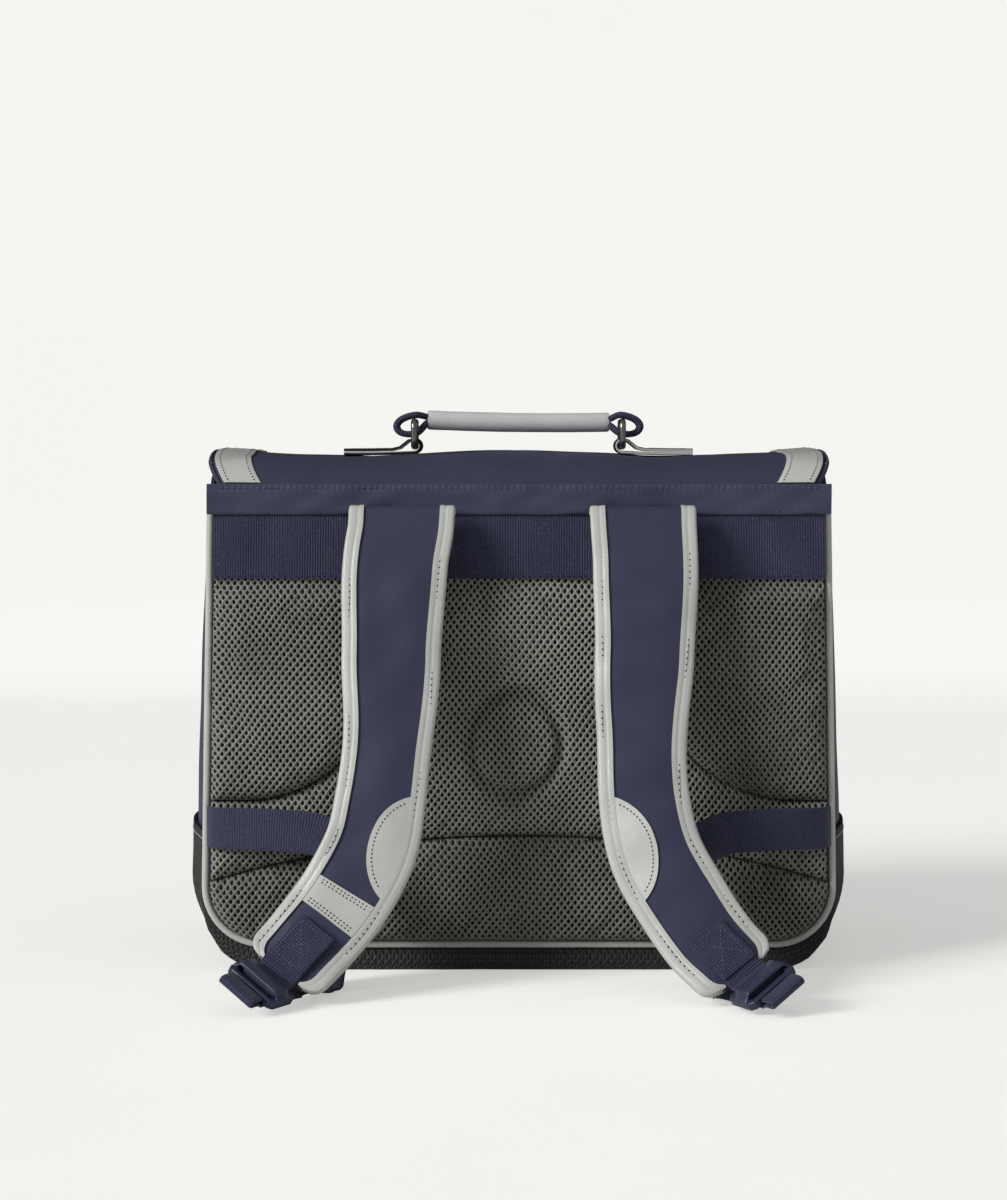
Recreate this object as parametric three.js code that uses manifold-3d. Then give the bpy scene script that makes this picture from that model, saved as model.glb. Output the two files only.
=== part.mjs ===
// A school satchel backpack that stands on its base, with its padded back towards -Y.
// Millimetres, +Z up. The origin is the middle of the flat underside.
import * as THREE from "three";
import Module from "manifold-3d";

const wasm = await Module();
wasm.setup();

// Clearance between pieces that touch
const gap = 0.3;

// Body
const seamHalfWidth = 189.5; // middle to side seam, low down
const seamNarrowing = 4.5; // how much nearer the side seams come at the top
const seamBottom = 15.5; // bottom seams above the floor
const seamCorner = 35; // radius of the bottom corners
const bodyDepth = 160; // back seam to front seam
const bodyTop = 286;
const mouthRise = 14; // how much higher the side panels' tops are between the seams
const sideBulge = 13.5; // how far the sides swell between their seams, low down
const topBulge = 6; // the same at the mouth
const frontBulge = 7;
const clothWall = 2;
const baseWall = 2;
const baseTop = 84; // how high the base cover reaches up the sides
const pipingRadius = 2.2;

// Padded back
const padInset = 3.5; // side seam to the edge of the pads
const padBackingHeight = 3; // pad thickness where it is sewn down
const wingThickness = 12;
const spineThickness = 10;
const lumbarThickness = 13.5;
const padEdgeRadius = 15; // how far in from a seam a pad is still rounding
const grooveWidth = 2;
const wingBottom = 103; // lower edge of the wing pads
const wingCornerStart = 165; // where that edge starts to turn up, from the middle
const wingInner = 75; // inner edge of a wing pad, from the middle
const wingCornerTop = 200;
const lumbarTop = 82; // top of the lumbar pad in the middle
const lumbarDrop = 29; // how much lower that top is at the sides
const lumbarInset = 7.5; // side seam to the lumbar pad

// Webbing across the back, and the hem of the flap over its upper edge
const backWebbingBottom = 237;
const backWebbingTop = 276;
const webbingThickness = 1.6;
const hemBottom = 274;
const hemTop = 292;
const hemInset = 4; // side seam to the end of the hem
const hemThickness = 1.5;

// Flap
const flapThickness = 2.6;
const flapInset = 3; // side seam to the flap's edge
const flapRootInset = 12.5; // side seam to the flap's edge where it is sewn on
const flapTop = 312;
const flapFront = 17.5; // how far the flap hangs out in front of the front seam
const flapHem = 118; // height of the flap's lower edge in front
const flapCorner = 32;
const flapWave = 1.8; // rise and fall of the flap's top across its width
const flapWaveLength = 200;
const stripWidth = 22;
const stripInset = 3.5;
const stripThickness = 1;
const edgingWidth = 1.8; // how far the edging stands out past the flap's edge

// Shoulder straps
const strapTop = 281;
const strapReach = 96; // how far the strap's end stands out in front of its root
const strapWidth = 64;
const strapThickness = 8;
const strapRootThickness = 3;
const strapEndThickness = 5.5;
const strapEndTaper = 26; // length over which the strap thins to its end
const strapEndRadius = 10;
const bindingWidth = 9;
const bindingThickness = 1;
const bindingClear = 0.4; // padding to binding
const patchRadius = 29;
const patchThickness = 1;
const patchShare = 0.7; // place of the half-round patch, as a share of the strap's length
const labelShare = 0.845; // the same for the label
const labelWidth = 20;

// Webbing and ladder locks at the straps' ends
const webbingWidth = 25;
const endWebbingLength = 33; // how far it reaches up the face of the strap
const endWebbingTail = 4; // how far it comes back under the lock's first bar
const lockOffset = 10; // strap end to the lock's first bar
const lockBar = 4;
const lockSlot = 6;
const lockRail = 5;
const lockThickness = 5;
const lockChamfer = 3;
const lockHeight = 14.2; // of the lock's middle line above the floor
const lockYaw = THREE.MathUtils.degToRad(30); // how far the lock points outwards
const lockLean = THREE.MathUtils.degToRad(32); // slope of the lock across its width
const lowerAnchorHeight = 88; // where the lower webbing leaves the side seam

// Carrying handle
const gripLength = 114;
const gripRadius = 6;
const gripRise = 0.8; // middle of the grip above the middle of the rings' top bars
const ringWire = 1.6;
const ringInnerWidth = 25;
const ringHeight = 19.5; // outside, top to bottom
const ringBend = 4; // radius of its corners
const ringOffset = 8; // end of the grip to a ring
const tabWidth = 24;
const tabThickness = 1.6;
const tabLength = 44; // ring to the tab's outer end
const tabLoopRadius = 4;
const gripEndWidth = 10; // width of the handle's webbing where it enters the grip
const loopWebbingWidth = 21;
const loopWebbingThickness = 2.4;
const loopHeight = 11; // of the loop that hangs on a ring

// Clasps on the front
const claspHalfSpan = 108;
const claspWidth = 30;
const claspHeight = 46;
const claspThickness = 5;
const claspOverlap = 28; // how much of the clasp lies on the flap

const colours = {
  navy: { color: 0x2b2f4a, roughness: 0.62, metalness: 0 },
  navyWebbing: { color: 0x25284a, roughness: 0.7, metalness: 0 },
  navyPlastic: { color: 0x2c3150, roughness: 0.4, metalness: 0 },
  black: { color: 0x1c1b1a, roughness: 0.8, metalness: 0 },
  mesh: { color: 0x5a5c50, roughness: 0.8, metalness: 0 },
  reflective: { color: 0xc4c5c0, roughness: 0.45, metalness: 0 },
  grip: { color: 0xa6a7a8, roughness: 0.5, metalness: 0 },
  steel: { color: 0x8e8b86, roughness: 0.3, metalness: 1 },
};

const seamY = bodyDepth / 2;
const lumbarHalfWidth = seamHalfWidth - lumbarInset;
const hemHalfWidth = seamHalfWidth - hemInset;
const flapHalfWidth = seamHalfWidth - flapInset;
const flapRootHalfWidth = seamHalfWidth - flapRootInset;
const ringHalfSpan = gripLength / 2 + ringOffset;
const cornerTop = seamBottom + seamCorner;
const lerp = THREE.MathUtils.lerp;
const clamp01 = (value) => Math.min(1, Math.max(0, value));
const smooth = (value) => THREE.MathUtils.smoothstep(value, 0, 1);
const roundOff = (share) => Math.sqrt(1 - (1 - clamp01(share)) ** 2);

const part = new THREE.Group();

function addMesh(name, geometry, finish) {
  const mesh = new THREE.Mesh(geometry, new THREE.MeshStandardMaterial(finish));
  mesh.name = name;
  part.add(mesh);
  return mesh;
}

// Solids

// Turns a mesh the right way round, by the sign of its volume.
function facingOut(positions, index) {
  const corner = (k) => new THREE.Vector3().fromArray(positions, 3 * k);
  let volume = 0;
  for (let i = 0; i < index.length; i += 3) {
    const [a, b, c] = index.slice(i, i + 3).map(corner);
    volume += a.dot(b.cross(c));
  }
  if (volume < 0)
    for (let i = 0; i < index.length; i += 3)
      [index[i + 1], index[i + 2]] = [index[i + 2], index[i + 1]];
  const geometry = new THREE.BufferGeometry();
  geometry.setAttribute("position", new THREE.Float32BufferAttribute(positions, 3));
  geometry.setIndex(index);
  geometry.computeVertexNormals();
  return geometry;
}

// A closed solid between two grids of points, which are joined round their edges.
function sheetSolid(outer, inner, columns, rows) {
  const positions = [];
  const index = [];
  const at = (side, i, j) => (side * (rows + 1) + j) * (columns + 1) + i;
  const quad = (a, b, c, d) => index.push(a, b, c, a, c, d);
  for (const face of [outer, inner])
    for (let j = 0; j <= rows; j++)
      for (let i = 0; i <= columns; i++) positions.push(...face(i, j));
  for (let j = 0; j < rows; j++)
    for (let i = 0; i < columns; i++) {
      quad(at(0, i, j), at(0, i + 1, j), at(0, i + 1, j + 1), at(0, i, j + 1));
      quad(at(1, i, j), at(1, i, j + 1), at(1, i + 1, j + 1), at(1, i + 1, j));
    }
  for (let i = 0; i < columns; i++) {
    quad(at(0, i, 0), at(1, i, 0), at(1, i + 1, 0), at(0, i + 1, 0));
    quad(at(0, i, rows), at(0, i + 1, rows), at(1, i + 1, rows), at(1, i, rows));
  }
  for (let j = 0; j < rows; j++) {
    quad(at(0, 0, j), at(0, 0, j + 1), at(1, 0, j + 1), at(1, 0, j));
    quad(at(0, columns, j), at(1, columns, j), at(1, columns, j + 1), at(0, columns, j + 1));
  }
  return facingOut(positions, index);
}

// A closed solid through rings of points, each ring convex and with as many points.
function loftSolid(rings, endless = false) {
  const sides = rings[0].length;
  const positions = rings.flat().flatMap((point) => point.toArray());
  const index = [];
  const spans = endless ? rings.length : rings.length - 1;
  for (let j = 0; j < spans; j++)
    for (let i = 0; i < sides; i++) {
      const a = j * sides + i;
      const b = j * sides + ((i + 1) % sides);
      const c = ((j + 1) % rings.length) * sides + ((i + 1) % sides);
      const d = ((j + 1) % rings.length) * sides + i;
      index.push(a, b, c, a, c, d);
    }
  if (!endless)
    for (let i = 1; i < sides - 1; i++) {
      const last = (rings.length - 1) * sides;
      index.push(0, i + 1, i, last, last + i, last + i + 1);
    }
  return facingOut(positions, index);
}

// A round bar along points that carry their own side direction, with a common cross direction.
function planarTube(path, cross, radius, sides, endless = false) {
  const rings = path.map(({ point, normal }) =>
    Array.from({ length: sides }, (unused, k) => {
      const turn = (2 * Math.PI * (k + 0.5)) / sides;
      return point
        .clone()
        .addScaledVector(normal, radius * Math.cos(turn))
        .addScaledVector(cross, radius * Math.sin(turn));
    }),
  );
  return loftSolid(rings, endless);
}

// A flat band along points. across is the direction of its width at each of them.
function ribbon(stops, thickness) {
  const edges = stops.map(({ point, across, width }, k) => {
    const before = stops[Math.max(0, k - 1)].point;
    const after = stops[Math.min(stops.length - 1, k + 1)].point;
    const along = after.clone().sub(before).normalize();
    const side = across.clone().addScaledVector(along, -across.dot(along)).normalize();
    return { point, side, up: along.clone().cross(side), width };
  });
  const face = (lift) => (i, j) => {
    const { point, side, up, width } = edges[j];
    return point
      .clone()
      .addScaledVector(side, (i - 0.5) * width)
      .addScaledVector(up, lift * thickness)
      .toArray();
  };
  return sheetSolid(face(0.5), face(-0.5), 1, edges.length - 1);
}

function toManifold(geometry) {
  return new wasm.Manifold(
    new wasm.Mesh({
      numProp: 3,
      vertProperties: new Float32Array(geometry.getAttribute("position").array),
      triVerts: new Uint32Array(geometry.index.array),
    }),
  );
}

function fromManifold(solid) {
  const mesh = solid.getMesh();
  return facingOut(Array.from(mesh.vertProperties), Array.from(mesh.triVerts));
}

// Side seams and the U that they make with the bottom seam

function seamHalfWidthAt(z) {
  return seamHalfWidth - seamNarrowing * clamp01((z - cornerTop) / (bodyTop - cornerTop));
}

// Points down the left side seam and round the corner, each with its outward direction.
function leftSeam(heights, cornerSteps) {
  const straight = heights.map((z) => ({ x: -seamHalfWidthAt(z), z, nx: -1, nz: 0 }));
  const corner = Array.from({ length: cornerSteps + 1 }, (unused, k) => {
    const turn = (k / cornerSteps) * (Math.PI / 2);
    const nx = -Math.cos(turn);
    const nz = -Math.sin(turn);
    return { x: seamCorner - seamHalfWidth + seamCorner * nx, z: cornerTop + seamCorner * nz, nx, nz };
  });
  return [...straight, ...corner];
}

function wholeSeam(left, bottomSteps) {
  const end = left[left.length - 1];
  const bottom = Array.from({ length: bottomSteps - 1 }, (unused, k) => ({
    x: lerp(end.x, -end.x, (k + 1) / bottomSteps),
    z: end.z,
    nx: 0,
    nz: -1,
  }));
  const right = left.map((stop) => ({ ...stop, x: -stop.x, nx: -stop.nx })).reverse();
  return [...left, ...bottom, ...right];
}

const sideShares = [1, 0.72, 0.4, 0]; // mouth to the base cover's edge
const lowSideHeights = [baseTop, (baseTop + cornerTop) / 2];
const sideHeights = sideShares.map((share) => lerp(baseTop, bodyTop, share));
const cornerSteps = 4;
const bottomSteps = 4;
const bodyLeftSeam = leftSeam([...sideHeights, lowSideHeights[1]], cornerSteps);
const bodySeam = wholeSeam(bodyLeftSeam, bottomSteps);
const baseSeam = wholeSeam(leftSeam(lowSideHeights, cornerSteps), bottomSteps);

// Body: gusset, base cover, panels and piping

const gussetHalfDepth = seamY - pipingRadius - gap;
const bottomDrop = seamBottom - baseWall - gap;
const depthShares = [0, 0.03, 0.08, 0.2, 0.35, 0.5, 0.65, 0.8, 0.92, 0.97, 1];
const bottomRounding = 0.08; // share of the depth in which the underside rounds off

// How far the gusset swells out past its seams, from back (0) to front (1).
function gussetSwell(stop, share) {
  const swell = lerp(sideBulge, topBulge, clamp01(stop.z / bodyTop) ** 3);
  const side = swell * Math.sin(Math.PI * share);
  const edge = clamp01(Math.min(share, 1 - share) / bottomRounding);
  return stop.nx ** 2 * side + stop.nz ** 2 * bottomDrop * Math.sin((edge * Math.PI) / 2);
}

function gussetFace(seam, lift) {
  return (i, j) => {
    const stop = seam[j];
    const out = gussetSwell(stop, depthShares[i]) + lift;
    const y = lerp(-gussetHalfDepth, gussetHalfDepth, depthShares[i]);
    const above = clamp01((stop.z - baseTop) / (bodyTop - baseTop));
    const rise = mouthRise * above * Math.sin(Math.PI * depthShares[i]);
    return [stop.x + stop.nx * out, y, stop.z + stop.nz * out + rise];
  };
}

function gussetLayer(seam, low, high) {
  const columns = depthShares.length - 1;
  return sheetSolid(gussetFace(seam, high), gussetFace(seam, low), columns, seam.length - 1);
}

addMesh("gusset", gussetLayer(bodySeam, -clothWall, 0), colours.navy);
addMesh("base_cover", gussetLayer(baseSeam, gap, gap + baseWall), colours.black);

const panelInset = pipingRadius + gap;

// A point of a panel, from the left seam (-1) to the right one (1) on the seam's row j.
function panelPoint(share, stop, inset, y) {
  return [-share * (stop.x - stop.nx * inset), y, stop.z - stop.nz * inset];
}

function frontSwell(share, z) {
  const rise = (0.85 * (z - seamBottom)) / (bodyTop - seamBottom);
  return frontBulge * (1 - share ** 4) * Math.sin(Math.PI * rise);
}

const backPanelOuter = -(seamY + clothWall / 2);
const panelRows = bodyLeftSeam.length - 1;
const flatFace = (y) => (i, j) => panelPoint(2 * i - 1, bodyLeftSeam[j], panelInset, y);
addMesh(
  "back_panel",
  sheetSolid(flatFace(backPanelOuter), flatFace(backPanelOuter + clothWall), 1, panelRows),
  colours.navy,
);

const frontColumns = 8;
function frontFace(lift) {
  return (i, j) => {
    const stop = bodyLeftSeam[j];
    const share = (2 * i) / frontColumns - 1;
    return panelPoint(share, stop, panelInset, seamY + lift + frontSwell(share, stop.z));
  };
}
addMesh(
  "front_panel",
  sheetSolid(frontFace(clothWall / 2), frontFace(-clothWall / 2), frontColumns, panelRows),
  colours.navy,
);

for (const [name, y] of [
  ["back_piping", -seamY],
  ["front_piping", seamY],
]) {
  const path = bodySeam.map(({ x, z, nx, nz }) => ({
    point: new THREE.Vector3(x, y, z),
    normal: new THREE.Vector3(nx, 0, nz),
  }));
  addMesh(name, planarTube(path, new THREE.Vector3(0, 1, 0), pipingRadius, 8), colours.reflective);
}

// Padded back

const padBack = backPanelOuter - gap;
const grooveHalf = grooveWidth / 2;
const padTop = backWebbingTop - gap;
const wingRise = wingCornerTop - wingBottom;
const wingRun = wingCornerStart - wingInner;
const wingCornerSteps = 5;
const padCinch = 11; // height over which a pad thins to where the webbing holds it down

// The turned-up lower edge of a wing pad, as distances from the middle and heights.
const wingCorner = Array.from({ length: wingCornerSteps + 1 }, (unused, k) => {
  const turn = (k / wingCornerSteps) * (Math.PI / 2);
  return [wingCornerStart - wingRun * Math.sin(turn), wingCornerTop - wingRise * Math.cos(turn)];
});
const padHalfWidthAt = (z) => seamHalfWidthAt(z) - padInset;
const lumbarEdge = (x) => lumbarTop - lumbarDrop * (x / seamHalfWidth) ** 2;

const wingLine = (side) => [
  [side * padHalfWidthAt(wingBottom), wingBottom],
  ...wingCorner.map(([x, z]) => [side * x, z]),
  [side * wingInner, padTop],
];
const lumbarLine = Array.from({ length: 13 }, (unused, k) => {
  const x = lerp(-padHalfWidthAt(0), padHalfWidthAt(0), k / 12);
  return [x, lumbarEdge(x)];
});
const rimLine = bodySeam.map(({ x, z, nx, nz }) => [x - nx * padInset, z - nz * padInset]);
const sewnLines = [wingLine(-1), wingLine(1), lumbarLine, rimLine];

function distanceToLine(line, x, z) {
  let nearest = Infinity;
  for (let k = 1; k < line.length; k++) {
    const [ax, az] = line[k - 1];
    const [bx, bz] = line[k];
    const length2 = (bx - ax) ** 2 + (bz - az) ** 2;
    const along = clamp01(((x - ax) * (bx - ax) + (z - az) * (bz - az)) / length2);
    nearest = Math.min(nearest, Math.hypot(x - lerp(ax, bx, along), z - lerp(az, bz, along)));
  }
  return nearest;
}

// A pad's thickness: thin at the sewn lines and under the webbing, full between them.
function padHeight(x, z, thickness) {
  const edge = Math.min(...sewnLines.map((line) => distanceToLine(line, x, z)));
  const full = lerp(padBackingHeight, thickness, roundOff(edge / padEdgeRadius));
  const held = smooth(1 - (padHeld - z) / padCinch);
  return lerp(full, padBackingHeight, held);
}

// place(c, t) gives a pad's point in the panel's plane, for shares across and up.
function padSolid(place, acrossShares, upShares, thickness) {
  const face = (height) => (i, j) => {
    const [x, z] = place(acrossShares[i], j);
    return [x, padBack - height(x, z), z];
  };
  const top = face((x, z) => padHeight(x, z, thickness));
  return sheetSolid(top, face(() => 0), acrossShares.length - 1, upShares.length - 1);
}

const padHeld = backWebbingBottom - 2 * gap - 1; // above this height the webbing holds a pad flat
const upperHeights = [
  lerp(wingCornerTop, padHeld - padCinch, 0.5),
  ...[1, 0.5, 0].map((share) => padHeld - share * padCinch),
  padTop,
];
const wingRows = [
  ...wingCorner.map(([x, z]) => ({ z: z + grooveHalf, inner: x })),
  ...upperHeights.map((z) => ({ z, inner: wingInner })),
];
const wingAcross = [0, 0.04, 0.12, 0.28, 0.5, 0.72, 0.88, 0.96, 1];
for (const [name, side] of [
  ["wing_pad_left", -1],
  ["wing_pad_right", 1],
]) {
  const place = (share, j) => {
    const { z, inner } = wingRows[j];
    return [side * lerp(padHalfWidthAt(z), inner + grooveHalf, share), z];
  };
  addMesh(name, padSolid(place, wingAcross, wingRows, wingThickness), colours.mesh);
}

// The spine pad spreads out below the wings and reaches down to the lumbar pad.
const spreadRows = [0, 0.06, 0.2, 0.5, 0.8, 1];
const spineRows = [
  ...spreadRows.map((share) => ({ share, half: padHalfWidthAt(wingBottom) })),
  ...wingCorner.map(([x, z]) => ({ z: z - grooveHalf + gap, half: x - grooveHalf })),
  ...upperHeights.map((z) => ({ z, half: wingInner - grooveHalf })),
];
const spineAcross = [-1, -0.97, -0.9, -0.7, -0.4, 0, 0.4, 0.7, 0.9, 0.97, 1];
function spinePlace(share, j) {
  const { z, half, share: up } = spineRows[j];
  const x = share * half;
  return [x, z ?? lerp(lumbarEdge(x) + grooveHalf, wingBottom - grooveHalf, up)];
}
addMesh("spine_pad", padSolid(spinePlace, spineAcross, spineRows, spineThickness), colours.mesh);

const lumbarAcross = [-1, -0.98, -0.93, -0.8, -0.5, -0.17, 0.17, 0.5, 0.8, 0.93, 0.98, 1];
const lumbarRows = [0, 0.06, 0.2, 0.5, 0.8, 0.94, 1];
function rimHeight(x) {
  const radius = seamCorner - padInset;
  const past = clamp01((Math.abs(x) - (seamHalfWidth - seamCorner)) / radius);
  return cornerTop - radius * Math.sqrt(1 - past ** 2);
}
function lumbarPlace(share, j) {
  const x = share * lumbarHalfWidth;
  return [x, lerp(rimHeight(x), lumbarEdge(x) - grooveHalf, lumbarRows[j])];
}
addMesh("lumbar_pad", padSolid(lumbarPlace, lumbarAcross, lumbarRows, lumbarThickness), colours.mesh);

// Webbing and hem across the back

const backWebbingOuter = padBack - padBackingHeight - gap - webbingThickness;
const hemOuter = backWebbingOuter - gap - hemThickness;

function crossBand(bottom, top, halfWidth, outer, thickness) {
  const face = (y) => (i, j) => {
    const z = j ? top : bottom;
    return [(2 * i - 1) * halfWidth(z), y, z];
  };
  return sheetSolid(face(outer), face(outer + thickness), 1, 1);
}
addMesh(
  "back_webbing",
  crossBand(backWebbingBottom, backWebbingTop, padHalfWidthAt, backWebbingOuter, webbingThickness),
  colours.navyWebbing,
);
addMesh(
  "hem_band",
  crossBand(hemBottom, hemTop, () => hemHalfWidth, hemOuter, hemThickness),
  colours.navy,
);

// Flap: from behind the hem, over the mouth and down the front

const flapRootY = backWebbingOuter;
const flapRootZ = backWebbingTop + gap;
const flapFrontY = seamY + flapFront;
// Depth is a share from the root (0) to the front (1), rise a share from the mouth to the top.
const flapProfile = [
  { depth: 0, rise: -0.36 },
  { depth: 0, rise: 0.08 },
  { depth: 0.018, rise: 0.38 },
  { depth: 0.075, rise: 0.7 },
  { depth: 0.17, rise: 0.9 },
  { depth: 0.32, rise: 0.98 },
  { depth: 0.5, rise: 1 },
  { depth: 0.7, rise: 0.98 },
  { depth: 0.83, rise: 0.86 },
  { depth: 0.92, rise: 0.54 },
  { depth: 0.97, rise: 0 },
];
// Down the front, drop is a share from the mouth to the flap's lower edge.
const flapFall = [
  { depth: 0.99, drop: 0.16 },
  { depth: 1, drop: 0.4 },
  { depth: 1, drop: 0.7 },
  { depth: 0.992, drop: 1 },
];
const flapCurve = new THREE.CatmullRomCurve3(
  [
    ...flapProfile.map(({ depth, rise }) => [depth, lerp(bodyTop, flapTop, rise)]),
    ...flapFall.map(({ depth, drop }) => [depth, lerp(bodyTop, flapHem, drop)]),
  ].map(([depth, z], k) => {
    const height = k === 0 ? flapRootZ : z;
    return new THREE.Vector3(0, lerp(flapRootY, flapFrontY, depth), height);
  }),
);
const flapCurveLength = flapCurve.getLength();
const cornerShares = [0.45, 0.12, 0]; // how much of the corner's radius is still to come
const flapShares = [
  0, 0.04, 0.07, 0.11, 0.17, 0.27, 0.38, 0.43, 0.46, 0.49, 0.53, 0.6, 0.75,
  1 - flapCorner / flapCurveLength,
  ...cornerShares.map((share) => 1 - (share * flapCorner) / flapCurveLength),
];
const flapStops = flapShares.map((share) => {
  const point = flapCurve.getPointAt(share);
  const along = flapCurve.getTangentAt(share);
  const toGo = (1 - share) * flapCurveLength;
  const rounding = flapCorner * (1 - roundOff(toGo / flapCorner));
  const spread = smooth((point.z - flapRootZ) / (flapTop - flapRootZ));
  const half = point.y < 0 ? lerp(flapRootHalfWidth, flapHalfWidth, spread) : flapHalfWidth;
  const level = smooth((point.z - bodyTop) / (flapTop - bodyTop));
  return { y: point.y, z: point.z, ny: -along.z, nz: along.y, half, rounding, level };
});

const flapWaveAt = (x) => flapWave * Math.cos((2 * Math.PI * x) / flapWaveLength);

// A point of the flap at a distance x from the middle, lifted off its outer face.
function flapPoint(stop, x, lift) {
  return [x, stop.y + stop.ny * lift, stop.z + stop.nz * lift + stop.level * flapWaveAt(x)];
}
const stripEdge = (stop, out) => (stop.half - stripInset - (1 - out) * stripWidth) / stop.half;
// Column positions across the flap, as signed distances; the strips' edges are columns too.
function flapColumns(stop) {
  const half = stop.half - stop.rounding;
  const inner = stripEdge(stop, 0) * stop.half;
  const outer = Math.min(stripEdge(stop, 1) * stop.half, half - gap);
  const middle = [0.2, 0.42, 0.62, 0.82].map((share) => share * inner);
  const right = [...middle, Math.min(inner, outer - stripWidth / 4), outer, half];
  return [...right.map((x) => -x).reverse(), 0, ...right];
}
const flapGrid = flapStops.map(flapColumns);
const flapColumnCount = flapGrid[0].length - 1;
const flapFace = (lift) => (i, j) => flapPoint(flapStops[j], flapGrid[j][i], lift);
addMesh(
  "flap",
  sheetSolid(flapFace(0), flapFace(-flapThickness), flapColumnCount, flapStops.length - 1),
  colours.navy,
);

// Reflective strips along the flap's two sides, from the hem to the lower edge
const stripFirstStop = flapStops.findIndex((stop) => stop.z > hemTop + gap);
const stripStops = flapStops.slice(stripFirstStop);
for (const [name, column] of [
  ["flap_strip_left", 1],
  ["flap_strip_right", flapColumnCount - 2],
]) {
  const face = (lift) => (i, j) =>
    flapPoint(stripStops[j], flapGrid[stripFirstStop + j][column + i], lift);
  const strip = sheetSolid(face(gap + stripThickness), face(gap), 1, stripStops.length - 1);
  addMesh(name, strip, colours.reflective);
}

// Edging: a tape set against the flap's free edge, down one side, along the front and back up
function edgingStops() {
  const left = stripStops.map((stop) => ({ stop, x: -(stop.half - stop.rounding) }));
  const last = flapStops[flapStops.length - 1];
  const middle = flapGrid[flapGrid.length - 1].slice(1, -1).map((x) => ({ stop: last, x }));
  const right = left.map(({ stop, x }) => ({ stop, x: -x })).reverse();
  return [...left, ...middle, ...right];
}
const edging = edgingStops().map(({ stop, x }, k, all) => {
  const before = all[Math.max(0, k - 1)];
  const after = all[Math.min(all.length - 1, k + 1)];
  const point = new THREE.Vector3(...flapPoint(stop, x, 0));
  const along = new THREE.Vector3(...flapPoint(after.stop, after.x, 0)).sub(
    new THREE.Vector3(...flapPoint(before.stop, before.x, 0)),
  );
  const up = new THREE.Vector3(0, stop.ny, stop.nz);
  return { point, up, out: along.normalize().cross(up).normalize() };
});
const outwards = edging[0].out.x < 0 ? 1 : -1;
function edgingFace(reach) {
  return (i, j) => {
    const { point, up, out } = edging[j];
    return point
      .clone()
      .addScaledVector(out, outwards * reach)
      .addScaledVector(up, i ? stripThickness / 2 : -flapThickness - stripThickness / 2)
      .toArray();
  };
}
addMesh(
  "flap_edging",
  sheetSolid(edgingFace(gap + edgingWidth), edgingFace(gap), 1, edging.length - 1),
  colours.navyWebbing,
);

// Shoulder straps

const strapRootY = hemOuter - gap - strapRootThickness / 2;
// side is a share of the seam's half width, out of the strap's reach, up of its top height.
const leftStrapRows = [
  { side: 0.364, out: 0, up: 0.89 },
  { side: 0.364, out: 0, up: 0.954 },
  { side: 0.366, out: 0.09, up: 0.993 },
  { side: 0.369, out: 0.169, up: 0.954 },
  { side: 0.384, out: 0.231, up: 0.886 },
  { side: 0.394, out: 0.356, up: 0.722 },
  { side: 0.399, out: 0.481, up: 0.56 },
  { side: 0.424, out: 0.606, up: 0.401 },
  { side: 0.452, out: 0.669, up: 0.306 },
  { side: 0.531, out: 0.752, up: 0.205 },
  { side: 0.626, out: 0.856, up: 0.126 },
  { side: 0.715, out: 0.975, up: 0.065 },
];
const rightStrapRows = [
  { side: 0.386, out: 0, up: 0.89 },
  { side: 0.386, out: 0, up: 0.954 },
  { side: 0.387, out: 0.09, up: 0.993 },
  { side: 0.388, out: 0.169, up: 0.954 },
  { side: 0.392, out: 0.231, up: 0.886 },
  { side: 0.388, out: 0.356, up: 0.722 },
  { side: 0.376, out: 0.481, up: 0.56 },
  { side: 0.38, out: 0.606, up: 0.401 },
  { side: 0.414, out: 0.679, up: 0.292 },
  { side: 0.49, out: 0.763, up: 0.199 },
  { side: 0.573, out: 0.877, up: 0.12 },
  { side: 0.665, out: 1, up: 0.062 },
];
const strapWidths = [
  { along: 0, share: 1 },
  { along: 0.22, share: 0.97 },
  { along: 0.38, share: 0.91 },
  { along: 0.56, share: 0.81 },
  { along: 0.78, share: 0.86 },
  { along: 1, share: 0.84 },
];
const paddingStart = 0.16; // share of the strap's length where its padding begins
const paddingFull = 0.26;
const strapShares = [
  0, 0.04, 0.06, 0.075, 0.09, 0.105, 0.125, 0.16, 0.21, 0.26, 0.34, 0.42, 0.5, 0.56, 0.62, 0.68, 0.74,
  0.8, 0.85, 0.9, 0.94,
];
const strapEndShares = [1, 0.5, 0.15, 0]; // how much of the end's rounding is still to come
// Edge to edge across a strap's body: how thick it is there, as a share of its middle.
const strapCrown = [
  { place: -1, share: 0.4 },
  { place: -0.68, share: 0.74 },
  { place: -0.35, share: 0.95 },
  { place: 0, share: 1 },
  { place: 0.35, share: 0.95 },
  { place: 0.68, share: 0.74 },
  { place: 1, share: 0.4 },
];

function easedTable(rows, at) {
  const next = rows.findIndex((row) => row.along >= at);
  if (next <= 0) return rows[next < 0 ? rows.length - 1 : 0].share;
  const [low, high] = [rows[next - 1], rows[next]];
  return lerp(low.share, high.share, smooth((at - low.along) / (high.along - low.along)));
}

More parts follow.
